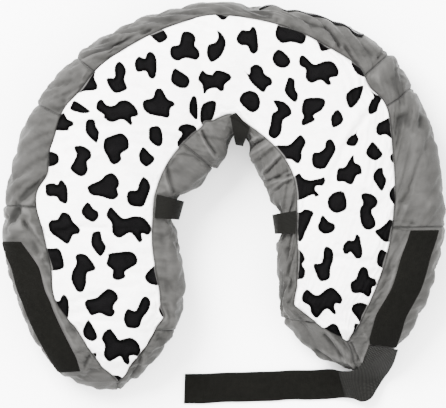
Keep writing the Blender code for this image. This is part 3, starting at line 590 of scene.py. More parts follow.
push[:, COLUMNS["under"]] = 0.0
cloth = rest + rest_normals * push[:, :, None]


def blown_up(start, row_step, column_step):
    """The slack that the filled cover shows: its cloth is simulated with the bladder's pressure
    inside, held at the seams, the bands and the underside, on a coarser net of points. The net
    leaves out both tips, where the face is too narrow for it."""
    wide = np.nonzero(pattern.face[1] - pattern.face[0] > FILLING_FACE)[0]
    rows = np.arange(wide[0], wide[-1] + 1, row_step)
    columns = np.arange(0, RING, column_step)
    net = start[np.ix_(rows, columns)]
    index = np.arange(net.shape[0] * net.shape[1]).reshape(net.shape[:2])
    beside = np.roll(index, -1, axis=1)
    faces = np.stack((index[:-1], beside[:-1], beside[1:], index[1:]), axis=2).reshape(-1, 4)
    mesh = bpy.data.meshes.new("filling")
    mesh.from_pydata((net.reshape(-1, 3) / 1000.0).tolist(), [], faces.tolist())
    filling = bpy.data.objects.new("filling", mesh)
    bpy.context.scene.collection.objects.link(filling)
    sewn = (seam_gap[np.ix_(rows, columns)] < 1.2) | (held[np.ix_(rows, columns)] > 0.3)
    sewn[:, np.isin(columns, COLUMNS["under"])] = True
    sewn[[0, -1]] = True
    group = filling.vertex_groups.new(name="sewn")
    group.add(index[sewn].tolist(), 1.0, "REPLACE")
    bpy.ops.object.select_all(action="DESELECT")
    filling.select_set(True)
    bpy.context.view_layer.objects.active = filling
    bpy.ops.object.modifier_add(type="CLOTH")
    cloth_modifier = filling.modifiers[-1]
    settings = cloth_modifier.settings
    settings.quality = 4
    settings.mass = 0.15
    settings.tension_stiffness = 12.0
    settings.compression_stiffness = 12.0
    settings.shear_stiffness = 4.0
    settings.bending_stiffness = 0.12
    settings.use_pressure = True
    settings.uniform_pressure_force = 2.0
    settings.shrink_min = -0.03
    settings.vertex_group_mass = "sewn"
    settings.effector_weights.gravity = 0.0
    cloth_modifier.collision_settings.use_collision = False
    cloth_modifier.point_cache.frame_end = FILLING_FRAMES
    for frame_number in range(1, FILLING_FRAMES + 1):
        bpy.context.scene.frame_set(frame_number)
    bpy.ops.object.modifier_apply(modifier=cloth_modifier.name)
    done = np.empty(len(filling.data.vertices) * 3, dtype=np.float32)
    filling.data.vertices.foreach_get("co", done)
    bpy.data.objects.remove(filling)
    bpy.context.scene.frame_set(1)
    return rows, columns, done.reshape(net.shape).astype(float) * 1000.0 - net


def spread(moved, rows, columns):
    """Movement of a coarser net, carried to every point of the cover."""
    wide = np.concatenate((moved, moved[:, :1]), axis=1)
    stops = np.append(columns, RING)
    across = np.stack([
        np.stack([np.interp(np.arange(RING), stops, wide[i, :, axis]) for axis in range(3)], axis=1)
        for i in range(len(rows))
    ])
    place = np.interp(np.arange(STATIONS), rows, np.arange(len(rows)))
    low = np.minimum(place.astype(int), len(rows) - 2)
    share = (place - low)[:, None, None]
    return across[low] * (1.0 - share) + across[low + 1] * share


def soften(field, times):
    """A field with its small ripples ironed out."""
    for _ in range(times):
        field = (np.roll(field, 1, axis=1) + field * 2.0 + np.roll(field, -1, axis=1)) / 4.0
        padded = np.concatenate((field[:1], field, field[-1:]), axis=0)
        field = (padded[:-2] + padded[1:-1] * 2.0 + padded[2:]) / 4.0
    return field


FILLING_FRAMES = 14
FILLING_FACE = 9.0
FILLING_LIMIT = 2.5
FILLING_BULGE = 0.25
FLOOR_GAP = 0.2
rows, columns, moved = blown_up(cloth, 3, 2)
moved = moved - (1.0 - FILLING_BULGE) * soften(moved, 40)
size = np.linalg.norm(moved, axis=2, keepdims=True)
moved = moved * np.minimum(1.0, FILLING_LIMIT / np.maximum(size, 1e-9))
slack = spread(moved, rows, columns) * (1.0 - held[:, :, None])
slack[:, COLUMNS["under"]] = 0.0
crease += np.sum(slack * rest_normals, axis=2)
cloth = cloth + slack
cloth[:, :, 2] = np.maximum(cloth[:, :, 2], FLOOR_GAP)
cloth_normals = outward(cloth)


# Velour sides and underside
# Short grey velour, cut in pieces round the tube and joined to the face and to each other.
# Its nap is brushed both ways by handling, so it is blotched. Its colour also carries painted
# shade in the folds and along the seams, and a painted highlight on the fold crests.
WALL = 1.2


def picked_piece(name, points, faces, finish, facts):
    """An object of points in mm, with facts kept at its points, picked for the next steps."""
    mesh = bpy.data.meshes.new(name)
    mesh.from_pydata((points.reshape(-1, 3) / 1000.0).tolist(), [], faces.tolist())
    for key, values in facts.items():
        kind, field = ("FLOAT_VECTOR", "vector") if values.size == points.size else ("FLOAT", "value")
        kept = mesh.attributes.new(key, kind, "POINT")
        kept.data.foreach_set(field, values.ravel().astype(np.float32))
    mesh.materials.append(finish.material)
    piece = bpy.data.objects.new(name, mesh)
    bpy.context.scene.collection.objects.link(piece)
    bpy.ops.object.select_all(action="DESELECT")
    piece.select_set(True)
    bpy.context.view_layer.objects.active = piece
    return piece


def panel_object(name, points, finish, facts):
    """A sewn panel: a grid of points in mm, with the cloth's thickness inside it."""
    index = np.arange(points.shape[0] * points.shape[1]).reshape(points.shape[:2])
    faces = np.stack((index[:-1, :-1], index[:-1, 1:], index[1:, 1:], index[1:, :-1]), axis=2)
    piece = picked_piece(name, points, faces.reshape(-1, 4), finish, facts)
    bpy.ops.object.shade_smooth()
    bpy.ops.object.modifier_add(type="SOLIDIFY")
    piece.modifiers[-1].thickness = WALL / 1000.0
    piece.modifiers[-1].offset = -1.0
    bpy.ops.object.modifier_apply(modifier=piece.modifiers[-1].name)
    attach(piece, "root")
    return piece


velour = Finish("velour", Roughness=0.8, Specular_IOR_Level=0.1, Sheen_Weight=0.06,
                Sheen_Roughness=0.4, Sheen_Tint=(0.85, 0.85, 0.82, 1.0))
velour_lay = velour.vector("lay")
blotch = velour.noise(velour_lay, 42.0, 3.0, 0.55)
streak = velour.noise(velour_lay, 110.0, 3.0, 0.6, stretch=(1.0, 0.3, 1.0))
speck = velour.noise(velour_lay, 1400.0, 2.0)
nap = (blotch * 1.1 + streak * 0.7 + speck * 0.25 - 0.52).clip(0.0, 1.0)
velour_tone = velour.blend(nap, (0.0090, 0.0088, 0.0082, 1.0), (0.0300, 0.0292, 0.0278, 1.0))
# Painted highlight on the fold crests and painted shade in the folds, read from each point's fold depth.
crest = velour.number("crease").step(0.3, 2.6)
hollow = (velour.number("crease") * -1.0).step(0.4, 3.2)
# Painted shade in the seam valleys: darkest at the seam and gone about 2 mm from it.
velour_seam_shade = 1.0 - velour.number("seam").step(0.2, 2.0)
velour_tone = velour.blend(crest * 0.6, velour_tone, (0.0480, 0.0468, 0.0448, 1.0))
velour_tone = velour.blend(hollow * 0.8, velour_tone, (0.0035, 0.0034, 0.0031, 1.0))
velour_tone = velour.blend(velour_seam_shade * 0.55, velour_tone, (0.0035, 0.0034, 0.0032, 1.0))
velour.feed(Base_Color=velour_tone, Roughness=0.9 - nap * 0.25)
velour.relief(speck * 0.4 + streak * 0.9 + blotch * 0.8, 0.0009, 0.7)
lay = np.stack((runs[:, None] + 0.0 * push, length_along(rest, 1), 0.0 * push), axis=2) / 1000.0


def dress(name, side, first, last, finish, slot, **facts):
    rows = rows_between(first, last)
    columns = COLUMNS[side] if side != "outer" else COLUMNS[side][::-1]
    facts = {key: values[rows][:, columns] for key, values in facts.items()}
    piece = panel_object("cloth_" + name, cloth[rows][:, columns], finish, facts)
    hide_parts(name)
    return piece


for name, side, first, last in (("underside_panel", "under", *FACE_CUTS), *SIDE_PANELS):
    dress(name, side, first, last, velour, "grey_velour", lay=lay, crease=crease, seam=seam_gap)


# Plush face
# White plush with a printed cow pattern, cut as one piece and sewn in along both edges. The
# patches are drawn with their outlines on the pattern sheet; the pile blurs them by a hair.
PATCHES = (
    (93, 70, 96, 72, 95, 78, 98, 85, 98, 89, 95, 91, 84, 92, 75, 95, 80, 88, 86, 81, 90, 76),
    (119, 62, 124, 65, 127, 72, 125, 80, 128, 88, 126, 91, 116, 94, 110, 88, 107, 79, 115, 78, 115, 68),
    (135, 66, 136, 60, 140, 57, 145, 59, 148, 53, 153, 53, 157, 60, 157, 73, 155, 79, 150, 79, 146, 72,
     138, 73),
    (75, 101, 84, 106, 91, 112, 86, 114, 79, 113, 71, 110, 72, 105),
    (98, 102, 103, 100, 107, 105, 114, 106, 121, 101, 128, 101, 135, 106, 139, 114, 137, 117, 132, 118,
     133, 123, 131, 126, 123, 120, 113, 123, 105, 119, 104, 115, 97, 110),
    (143, 103, 146, 100, 153, 98, 156, 90, 162, 89, 166, 96, 169, 100, 174, 102, 175, 106, 171, 109,
     169, 118, 160, 117, 150, 115, 144, 110),
    (64, 113, 68, 119, 74, 122, 74, 126, 70, 128, 69, 131, 60, 131, 52, 129, 58, 120),
    (88, 120, 95, 120, 97, 127, 100, 133, 98, 143, 95, 142, 87, 134, 86, 126),
    (113, 53, 121, 48, 125, 48, 121, 51),
    (47, 152, 58, 154, 60, 161, 57, 165, 50, 167, 42, 166),
    (75, 147, 83, 146, 91, 151, 92, 158, 88, 162, 89, 170, 85, 176, 79, 176, 71, 169, 74, 162, 77, 155),
    (109, 137, 118, 134, 124, 134, 129, 140, 129, 149, 122, 154, 122, 160, 116, 165, 111, 163, 108, 157,
     104, 149, 105, 140),
    (144, 147, 150, 153, 155, 158, 153, 163, 147, 167, 141, 163, 139, 156, 141, 150),
    (150, 128, 157, 126, 162, 130, 163, 143, 158, 147, 150, 141, 149, 133),
    (60, 181, 63, 180, 68, 187, 69, 200, 66, 204, 60, 201, 57, 197, 48, 196, 46, 190, 47, 184, 55, 183,
     58, 185),
    (88, 188, 92, 184, 101, 180, 106, 175, 113, 173, 119, 179, 120, 185, 118, 189, 119, 196, 113, 200,
     102, 197, 92, 195),
    (143, 177, 146, 178, 149, 181, 151, 188, 148, 197, 144, 206, 138, 207, 130, 205, 127, 198, 129, 191,
     137, 190, 139, 184),
    (89, 202, 94, 208, 99, 212, 99, 218, 94, 222, 87, 219, 82, 212, 85, 205),
    (112, 207, 117, 212, 124, 218, 134, 216, 143, 217, 150, 224, 152, 230, 148, 235, 142, 233, 143, 240,
     139, 242, 131, 233, 120, 238, 113, 233, 112, 223, 107, 216, 109, 209),
    (66, 212, 71, 215, 74, 221, 81, 229, 79, 234, 74, 235, 69, 244, 60, 239, 51, 232, 49, 224, 52, 220,
     58, 219, 62, 213),
    (94, 232, 101, 231, 103, 239, 107, 247, 103, 255, 99, 255, 92, 245, 92, 237),
    (42, 250, 54, 248, 59, 248, 63, 254, 64, 268, 46, 269),
    (76, 256, 80, 253, 88, 255, 96, 266, 95, 270, 88, 273, 87, 283, 84, 291, 78, 291, 72, 280, 73, 271,
     77, 263),
    (110, 253, 130, 251, 137, 256, 137, 264, 126, 271, 126, 277, 118, 280, 113, 277, 113, 270, 107, 264,
     109, 256),
    (157, 265, 149, 270, 145, 277, 149, 283, 157, 285, 166, 282, 166, 270),
    (109, 288, 116, 291, 119, 298, 115, 304, 114, 308, 116, 311, 113, 316, 108, 316, 100, 313, 92, 315,
     88, 310, 85, 303, 88, 299, 97, 297, 104, 291),
    (53, 297, 57, 300, 60, 300, 62, 296, 65, 294, 69, 299, 70, 309, 67, 322, 60, 318, 52, 304),
    (140, 302, 143, 297, 147, 296, 151, 301, 149, 310, 143, 318, 139, 327, 128, 327, 124, 319, 126, 311,
     129, 308, 136, 310),
    (165, 300, 160, 305, 159, 310, 162, 316, 168, 319, 176, 318, 176, 298),
    (88, 320, 85, 325, 83, 331, 85, 337, 92, 341, 97, 339, 98, 335, 94, 326, 90, 320),
    (110, 328, 105, 331, 102, 338, 105, 345, 104, 355, 109, 361, 115, 359, 120, 356, 122, 358, 124, 362,
     128, 365, 130, 362, 130, 356, 134, 355, 138, 356, 141, 350, 139, 343, 134, 338, 128, 337, 120, 339,
     116, 334, 112, 329),
    (108, 376, 114, 375, 120, 376, 123, 380, 121, 385, 113, 384),
    (91, 354, 96, 352, 97, 355, 95, 361, 91, 359),
    (148, 33, 156, 32, 162, 30, 166, 33, 168, 39, 163, 43, 159, 44, 154, 40),
    (182, 34, 188, 32, 194, 35, 196, 41, 195, 46, 199, 51, 200, 57, 196, 61, 186, 59, 178, 62, 172, 59,
     170, 53, 172, 47, 179, 45),
    (217, 31, 223, 36, 226, 44, 223, 54, 218, 60, 211, 63, 207, 56, 208, 46, 215, 43, 218, 38),
    (214, 13, 218, 18, 222, 21, 226, 20, 229, 14),
    (241, 31, 246, 31, 249, 31, 252, 27, 256, 30, 258, 42, 258, 51, 254, 55, 250, 53, 247, 47, 240, 46,
     236, 40),
    (279, 25, 292, 27, 304, 32, 306, 38, 302, 45, 291, 43, 281, 44, 275, 37, 276, 29),
    (315, 37, 326, 41, 333, 47, 330, 50, 321, 52, 318, 46),
    (278, 50, 284, 53, 290, 60, 289, 66, 283, 69, 276, 67, 272, 61, 273, 55),
    (303, 56, 308, 60, 314, 65, 323, 62, 332, 62, 338, 70, 337, 77, 329, 79, 331, 84, 327, 86, 320, 81,
     311, 84, 305, 79, 305, 70, 299, 66, 299, 58),
    (351, 61, 360, 66, 368, 74, 366, 78, 357, 75, 352, 68),
    (175, 69, 181, 72, 189, 78, 190, 84, 186, 89, 178, 88, 171, 82, 172, 74),
    (202, 71, 207, 74, 212, 75, 216, 71, 224, 72, 231, 76, 231, 80, 225, 85, 224, 91, 220, 92, 216, 89,
     209, 90, 204, 95, 202, 85, 198, 80),
    (244, 71, 249, 75, 250, 68, 256, 65, 262, 68, 265, 75, 271, 79, 272, 85, 267, 88, 264, 93, 258, 90,
     250, 82, 247, 76),
    (249, 91, 256, 93, 260, 100, 259, 109, 252, 113, 244, 108, 239, 101, 242, 94),
    (288, 78, 294, 80, 295, 89, 298, 96, 295, 103, 288, 98, 284, 91, 286, 83),
    (273, 101, 283, 102, 290, 108, 291, 115, 283, 121, 281, 133, 275, 139, 268, 135, 270, 124, 272, 114,
     277, 110),
    (305, 99, 315, 98, 323, 99, 325, 104, 321, 111, 313, 116, 315, 120, 309, 124, 302, 126, 301, 121,
     303, 117, 301, 112, 302, 104),
    (363, 86, 362, 92, 358, 102, 350, 109, 346, 103, 345, 96, 350, 90, 357, 87),
    (337, 110, 341, 114, 343, 120, 340, 125, 332, 128, 330, 119, 333, 113),
    (194, 96, 197, 99, 198, 108, 198, 118, 196, 120, 190, 114, 189, 106, 191, 99),
    (205, 103, 210, 101, 216, 102, 216, 109, 213, 119, 206, 124, 201, 124, 200, 114, 202, 106),
    (180, 126, 187, 124, 196, 127, 196, 134, 188, 144, 180, 148, 177, 143, 182, 134, 178, 131),
    (300, 135, 294, 140, 288, 145, 275, 146, 274, 155, 284, 159, 291, 160, 297, 164, 301, 160, 302, 151,
     305, 145, 305, 140),
    (330, 139, 325, 142, 324, 148, 319, 152, 313, 153, 311, 160, 314, 168, 324, 169, 329, 162, 335, 151,
     334, 144),
    (358, 128, 356, 134, 358, 139, 356, 145, 352, 147, 345, 144, 349, 137, 354, 134),
    (372, 142, 368, 146, 365, 152, 367, 157, 374, 161, 380, 158, 382, 154, 378, 148),
    (353, 155, 354, 162, 360, 166, 361, 174, 356, 176, 351, 185, 343, 182, 336, 181, 337, 169, 344, 167,
     349, 159),
    (293, 178, 299, 173, 303, 178, 310, 180, 321, 178, 323, 176, 325, 181, 322, 186, 316, 186, 315, 190,
     319, 195, 315, 197, 312, 195, 300, 200, 290, 199, 290, 184),
    (337, 191, 331, 194, 327, 200, 328, 208, 334, 213, 341, 212, 346, 208, 346, 200, 343, 192),
    (376, 169, 382, 168, 383, 174, 386, 180, 383, 189, 380, 191, 375, 184, 372, 177),
    (396, 186, 391, 188, 388, 195, 391, 202, 396, 205),
    (363, 193, 360, 196, 362, 203, 359, 209, 359, 218, 362, 227, 368, 230, 374, 227, 375, 221, 371, 211,
     376, 206, 377, 200, 371, 194),
    (305, 209, 300, 212, 292, 215, 291, 233, 298, 241, 302, 240, 306, 230, 311, 219, 313, 212),
    (322, 215, 319, 221, 317, 227, 320, 232, 327, 234, 334, 230, 334, 224, 328, 221),
    (390, 219, 385, 223, 379, 228, 374, 231, 379, 238, 385, 242, 392, 240, 397, 228),
    (355, 234, 353, 240, 347, 240, 342, 246, 343, 253, 347, 254, 350, 252, 355, 258, 360, 258, 362, 252,
     360, 240, 359, 236),
    (326, 246, 323, 250, 322, 260, 319, 263, 313, 264, 315, 272, 320, 281, 329, 278, 330, 268, 333, 259,
     332, 250),
    (292, 248, 301, 251, 305, 259, 302, 264, 305, 270, 304, 277, 300, 279, 292, 277),
    (362, 266, 358, 270, 355, 278, 350, 282, 350, 289, 353, 293, 361, 293, 368, 297, 371, 293, 372, 287,
     376, 285, 375, 279, 369, 276, 367, 269),
    (381, 249, 377, 254, 376, 262, 378, 266, 384, 268, 391, 262, 388, 254),
    (306, 289, 302, 294, 302, 301, 309, 306, 311, 313, 316, 318, 320, 315, 324, 310, 328, 309, 333, 314,
     336, 313, 334, 306, 336, 303, 340, 304, 342, 299, 339, 293, 332, 287, 325, 289, 319, 294, 314, 294,
     309, 290),
    (361, 302, 353, 304, 351, 310, 356, 317, 361, 323, 366, 316, 368, 306),
    (355, 323, 363, 327, 357, 334, 351, 337, 353, 330),
    (332, 323, 327, 326, 322, 330, 328, 337, 343, 343, 343, 338, 340, 331, 337, 325),
    (391, 118, 382, 121, 377, 124, 375, 131, 378, 136, 385, 135, 392, 139, 397, 128),
    (370, 91, 374, 94, 381, 98, 378, 106, 376, 112, 369, 115, 367, 109, 370, 101, 373, 97),
    (395, 152, 390, 155, 389, 158, 392, 163, 397, 160),
    (290, 295, 294, 299, 294, 302, 290, 305),
)
PRINT_REACH = 6.0


def closed_curve(marks, steps=5):
    """A smooth closed line through marks."""
    t = np.arange(steps)[:, None, None] / steps
    a, b, c, d = (np.roll(marks, k, axis=0)[None] for k in (1, 0, -1, -2))
    curve = b + 0.5 * t * (c - a + t * (2 * a - 5 * b + 4 * c - d + t * (3 * (b - c) + d - a)))
    return curve.transpose(1, 0, 2).reshape(-1, 2)


def print_distance(plan):
    """Distance from the nearest patch's outline, below 0 inside it."""
    found = np.full(len(plan), PRINT_REACH)
    for marks in PATCHES:
        outline = closed_curve(np.array(marks, dtype=float).reshape(-1, 2) * (1.0, -1.0) + SHEET_CORNER)
        low, high = outline.min(axis=0) - PRINT_REACH, outline.max(axis=0) + PRINT_REACH
        near = np.all((plan > low) & (plan < high), axis=1)
        spots = plan[near][:, None, :]
        start = outline[None]
        way = np.roll(outline, -1, axis=0)[None] - start
        offset = spots - start
        share = np.clip((offset * way).sum(axis=2) / np.maximum((way * way).sum(axis=2), 1e-9), 0.0, 1.0)
        gap = np.linalg.norm(offset - share[..., None] * way, axis=2).min(axis=1)
        rises = (offset[..., 1] >= 0.0) != (offset[..., 1] >= way[..., 1])
        slope = np.where(way[..., 1] == 0.0, 1e-9, way[..., 1])
        crossed = rises & (offset[..., 0] < offset[..., 1] * way[..., 0] / slope)
        inside = crossed.sum(axis=1) % 2 == 1
        found[near] = np.minimum(found[near], np.where(inside, -gap, gap))
    return found


printed = np.full(push.shape, PRINT_REACH)
face_plan = cloth[:, COLUMNS["face"], :2].reshape(-1, 2)
printed[:, COLUMNS["face"]] = print_distance(face_plan).reshape(STATIONS, -1)
plush = Finish("plush", Roughness=0.95, Specular_IOR_Level=0.0)
plush_place = plush.node("TexCoord", output=3)
tuft = plush.noise(plush_place, 700.0, 3.0, 0.6)
mottle = plush.noise(plush_place, 120.0, 3.0, 0.6)
cloud = plush.noise(plush_place, 30.0, 2.0, 0.5)
edge = plush.number("printed") + (tuft - 0.5) * 1.5 + (mottle - 0.5) * 0.5
white = plush.blend(mottle.step(0.35, 0.65), (0.775, 0.755, 0.750, 1.0), (0.845, 0.830, 0.825, 1.0))
white = plush.blend(cloud.step(0.35, 0.65) * 0.35, white, (0.74, 0.725, 0.725, 1.0))
white = plush.blend(tuft.step(0.30, 0.75) * 0.12, white, (0.62, 0.61, 0.61, 1.0))
black = plush.blend((edge * -1.0).step(1.0, 5.0) * (0.4 + mottle * 0.8), (0.0006, 0.0006, 0.0006, 1.0),
                    (0.0024, 0.0023, 0.0024, 1.0))
plush_tone = plush.blend(edge.step(-0.45, 0.45), black, white)
# Painted shade: a dark line on the plush within about a millimetre of each seam.
plush_seam_shade = 1.0 - plush.number("seam").step(0.1, 1.3)
plush_tone = plush.blend(plush_seam_shade * 0.6, plush_tone, (0.10, 0.098, 0.095, 1.0))
plush.feed(Base_Color=plush_tone)
plush.relief(tuft + mottle * 1.2, 0.0012, 0.8)
dress("face_panel", "face", *FACE_CUTS, plush, "white_plush", printed=printed, seam=seam_gap)


# Zip
# A closed coil zip let into the back seam, through which the bladder is taken out for washing.
# Its woven tape is sewn down flat, and the two rows of teeth mesh along the middle of it.
ZIP_RUN = ((16.0, 0.36), (17.0, 0.38), (18.0, 0.40), (18.75, 0.42))
TUBE_HEIGHT = 76.0
ZIP_TAPE_WIDTH = 8.0
ZIP_LANES = 8
TOOTH_PITCH = 2.0
TOOTH_ASIDE = 0.8


def laid(side, table, unit, width, lanes, lift):
    """Points of a band laid on the cloth, its edge so many units below the face seam."""
    cuts, edges = np.array(table).T
    columns = COLUMNS[side]
    rows = range(row_at(cuts[0]), row_at(cuts[-1]) + 1)
    lifted = (cloth + cloth_normals * lift)[:, columns]
    across = np.linspace(0.0, width, lanes + 1)
    arc = length_along(rest[:, columns], 1)
    points = np.empty((len(rows), lanes + 1, 3))
    for i, row in enumerate(rows):
        wanted = np.interp(pattern.cut[row], cuts, edges) * unit + across
        for axis in range(3):
            points[i, :, axis] = np.interp(wanted, arc[row], lifted[row, :, axis])
    return points


def ironed(points, times):
    """A band's points with the cloth's small wrinkles taken out of them."""
    for _ in range(times):
        inner = (points[:-2] + points[1:-1] * 2.0 + points[2:]) / 4.0
        points = np.concatenate((points[:1], inner, points[-1:]))
    return points


def square_to(points, centre):
    """Directions square to a band, away from the centre of the tube."""
    way = np.cross(np.gradient(points, axis=0), np.gradient(points, axis=1))
    way = way / np.maximum(np.linalg.norm(way, axis=2, keepdims=True), 1e-12)
    return -way if np.mean(np.sum(way * (points - centre), axis=2)) < 0.0 else way


def band_object(name, low, high, finish):
    """A closed band between two grids of points in mm, with a map of it in metres."""
    count = low.shape[0] * low.shape[1]
    index = np.arange(count).reshape(low.shape[:2])
    grid = np.stack((index[:-1, :-1], index[1:, :-1], index[1:, 1:], index[:-1, 1:]), axis=2)
    grid = grid.reshape(-1, 4)
    rim = np.concatenate((index[0, :-1], index[:-1, -1], index[-1, :0:-1], index[:0:-1, 0]))
    following = np.roll(rim, -1)
    sides = np.stack((rim, following, following + count, rim + count), axis=1)
    faces = np.concatenate((grid[:, ::-1], grid + count, sides))
    lay = np.stack((length_along(high, 1), length_along(high, 0), 0.0 * high[:, :, 0]), axis=2)
    facts = {"lay": np.concatenate((lay, lay)) / 1000.0}
    piece = picked_piece(name, np.concatenate((low, high)), faces, finish, facts)
    bpy.ops.object.mode_set(mode="EDIT")
    bpy.ops.mesh.select_all(action="SELECT")
    bpy.ops.mesh.normals_make_consistent(inside=False)
    bpy.ops.object.mode_set(mode="OBJECT")
    bpy.ops.object.shade_smooth_by_angle(angle=math.radians(50.0))
    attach(piece, "root")
    return piece


zip_cloth = Finish("zip_cloth", Roughness=0.8, Specular_IOR_Level=0.03)
zip_lay = zip_cloth.vector("lay")
zip_weave = zip_cloth.noise(zip_lay, 1500.0, 2.0, 0.5, stretch=(1.0, 0.4, 1.0))
zip_cloth.feed(Base_Color=zip_cloth.blend(
    zip_weave, (0.0008, 0.0008, 0.0008, 1.0), (0.0030, 0.0030, 0.0030, 1.0)))
zip_cloth.relief(zip_weave, 0.0003, 0.8)
zip_low = ironed(laid("outer", ZIP_RUN, TUBE_HEIGHT, ZIP_TAPE_WIDTH, ZIP_LANES, 0.3), 6)
zip_square = square_to(zip_low, rest.mean(axis=(0, 1)))
zip_piece = band_object("zip_band", zip_low, zip_low + zip_square * 0.9, zip_cloth)
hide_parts("zip_tape")

coil = Finish("zip_coil", Roughness=0.35, Specular_IOR_Level=0.4)
coil_grain = coil.noise(coil.node("TexCoord", output=3), 900.0, 2.0)
coil.feed(Base_Color=coil.blend(coil_grain, (0.002, 0.002, 0.002, 1.0), (0.007, 0.007, 0.007, 1.0)))
middle = zip_low[:, ZIP_LANES // 2] + zip_square[:, ZIP_LANES // 2] * 1.3
middle_way = np.gradient(middle, axis=0)
middle_length = np.concatenate(([0.0], np.cumsum(np.linalg.norm(np.diff(middle, axis=0), axis=1))))
bpy.ops.object.select_all(action="DESELECT")
bpy.ops.mesh.primitive_cylinder_add(vertices=8, radius=0.00055, depth=0.0028, location=(0.0, 0.0, 0.0))
tooth = bpy.context.object
bpy.ops.object.mode_set(mode="EDIT")
bpy.ops.mesh.bevel(offset=0.00018, segments=1, affect="EDGES")
bpy.ops.object.mode_set(mode="OBJECT")
tooth_points = np.array([vertex.co for vertex in tooth.data.vertices])
tooth_faces = [list(face.vertices) for face in tooth.data.polygons]
bpy.data.objects.remove(tooth)
teeth_points = []
teeth_faces = []
for k, at in enumerate(np.arange(1.0, middle_length[-1] - 1.0, TOOTH_PITCH / 2)):
    place = np.array([np.interp(at, middle_length, middle[:, axis]) for axis in range(3)])
    i = int(np.clip(np.searchsorted(middle_length, at), 1, len(middle) - 1))
    ahead = middle_way[i] / np.linalg.norm(middle_way[i])
    up = zip_square[i, ZIP_LANES // 2]
    aside = np.cross(ahead, up)
    aside = aside / np.linalg.norm(aside)
    place = place + aside * (TOOTH_ASIDE if k % 2 else -TOOTH_ASIDE)
    turned = tooth_points[:, 0:1] * ahead + tooth_points[:, 1:2] * up + tooth_points[:, 2:3] * aside
    teeth_faces.extend([[v + len(tooth_points) * k for v in face] for face in tooth_faces])
    teeth_points.append(place / 1000.0 + turned)
mesh = bpy.data.meshes.new("zip_coils")
mesh.from_pydata(np.concatenate(teeth_points).tolist(), [], teeth_faces)
mesh.materials.append(coil.material)
teeth = bpy.data.objects.new("zip_coils", mesh)
bpy.context.scene.collection.objects.link(teeth)
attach(teeth, "root")
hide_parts("zip_teeth")


# Pile strips
# Soft black loop tape sewn along the outside of both ends, where the strap's tape grips it.
# The loops stand up in a dense, slightly uneven pile, and the edges are woven flat.
STRIP_THICK = 2.2
STRIP_LANES = 40
pile = Finish("pile", Roughness=0.95, Specular_IOR_Level=0.02)
pile_lay = pile.vector("lay")
loops_noise = pile.noise(pile_lay, 900.0, 3.0, 0.7)
tangle = pile.noise(pile_lay, 180.0, 3.0, 0.6)
worn = pile.noise(pile_lay, 30.0, 2.0, 0.5)
pile_tone = (loops_noise * 0.7 + tangle * 0.6 + worn * 0.5 - 0.45).clip(0.0, 1.0)
pile.feed(Base_Color=pile.blend(pile_tone, (0.0010, 0.0010, 0.0008, 1.0), (0.0038, 0.0037, 0.0032, 1.0)))
pile.relief(loops_noise + tangle * 0.6, 0.0010, 0.9)


def pile_height(shape, thick, seed):
    """Height of a tape's pile above its back: full in the middle and flat at the woven edges."""
    chance = np.random.default_rng(seed)
    share = np.abs(np.linspace(-1.0, 1.0, shape[1]))[None, :]
    ends = np.abs(np.linspace(-1.0, 1.0, shape[0]))[:, None]
    full = np.clip((1.0 - share) / 0.09, 0.0, 1.0) * np.clip((1.0 - ends) / 0.02, 0.0, 1.0)
    return thick * (0.45 + 0.45 * full ** 0.5) + chance.uniform(-0.12, 0.12, shape) * full


for number, (name, table) in enumerate(STRIPS.items()):
    low = ironed(laid("outer", table, STRIP_WIDTH, STRIP_WIDTH, STRIP_LANES, 0.5), 12)
    square = square_to(low, rest.mean(axis=(0, 1)))
    stands = pile_height(low.shape[:2], STRIP_THICK, number)[:, :, None]
    piece = band_object(name + "_pile", low, low + square * stands, pile)
    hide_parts(name)


# Neck loops
# Three bands of ribbed elastic sewn in at the face seam and at the underside. A pet's own
# collar is threaded behind them, so they stand free across the hollow that they draw in.
LOOP_THICK = 1.6
LOOP_STAND = 0.8
BACK_LOOP_POINT = ((0.0, 0.0), (0.30, 7.0), (0.62, 2.5), (1.0, 0.0))
elastic = Finish("elastic", Roughness=0.8, Specular_IOR_Level=0.04)
elastic_lay = elastic.vector("lay")
elastic_split = elastic.node("SeparateXYZ", output=1, Vector=elastic_lay)
rib = ((elastic_split * 1000.0 * (2 * math.pi / 1.3)).math("SINE") * 0.5 + 0.5)
elastic_noise = elastic.noise(elastic_lay, 800.0, 3.0, 0.6)
elastic_tone = (rib * 0.5 + elastic_noise * 0.7 - 0.15).clip(0.0, 1.0)
elastic.feed(Base_Color=elastic.blend(
    elastic_tone, (0.0012, 0.0012, 0.0010, 1.0), (0.0040, 0.0038, 0.0033, 1.0)))
elastic.relief(rib + elastic_noise * 0.6, 0.0004, 0.9)
inner_edge = length_along(rest[:, COLUMNS["inner"][:1]], 0)[:, 0]
plain_inner = rest[:, COLUMNS["inner"]]
plain_square = rest_normals[:, COLUMNS["inner"]]
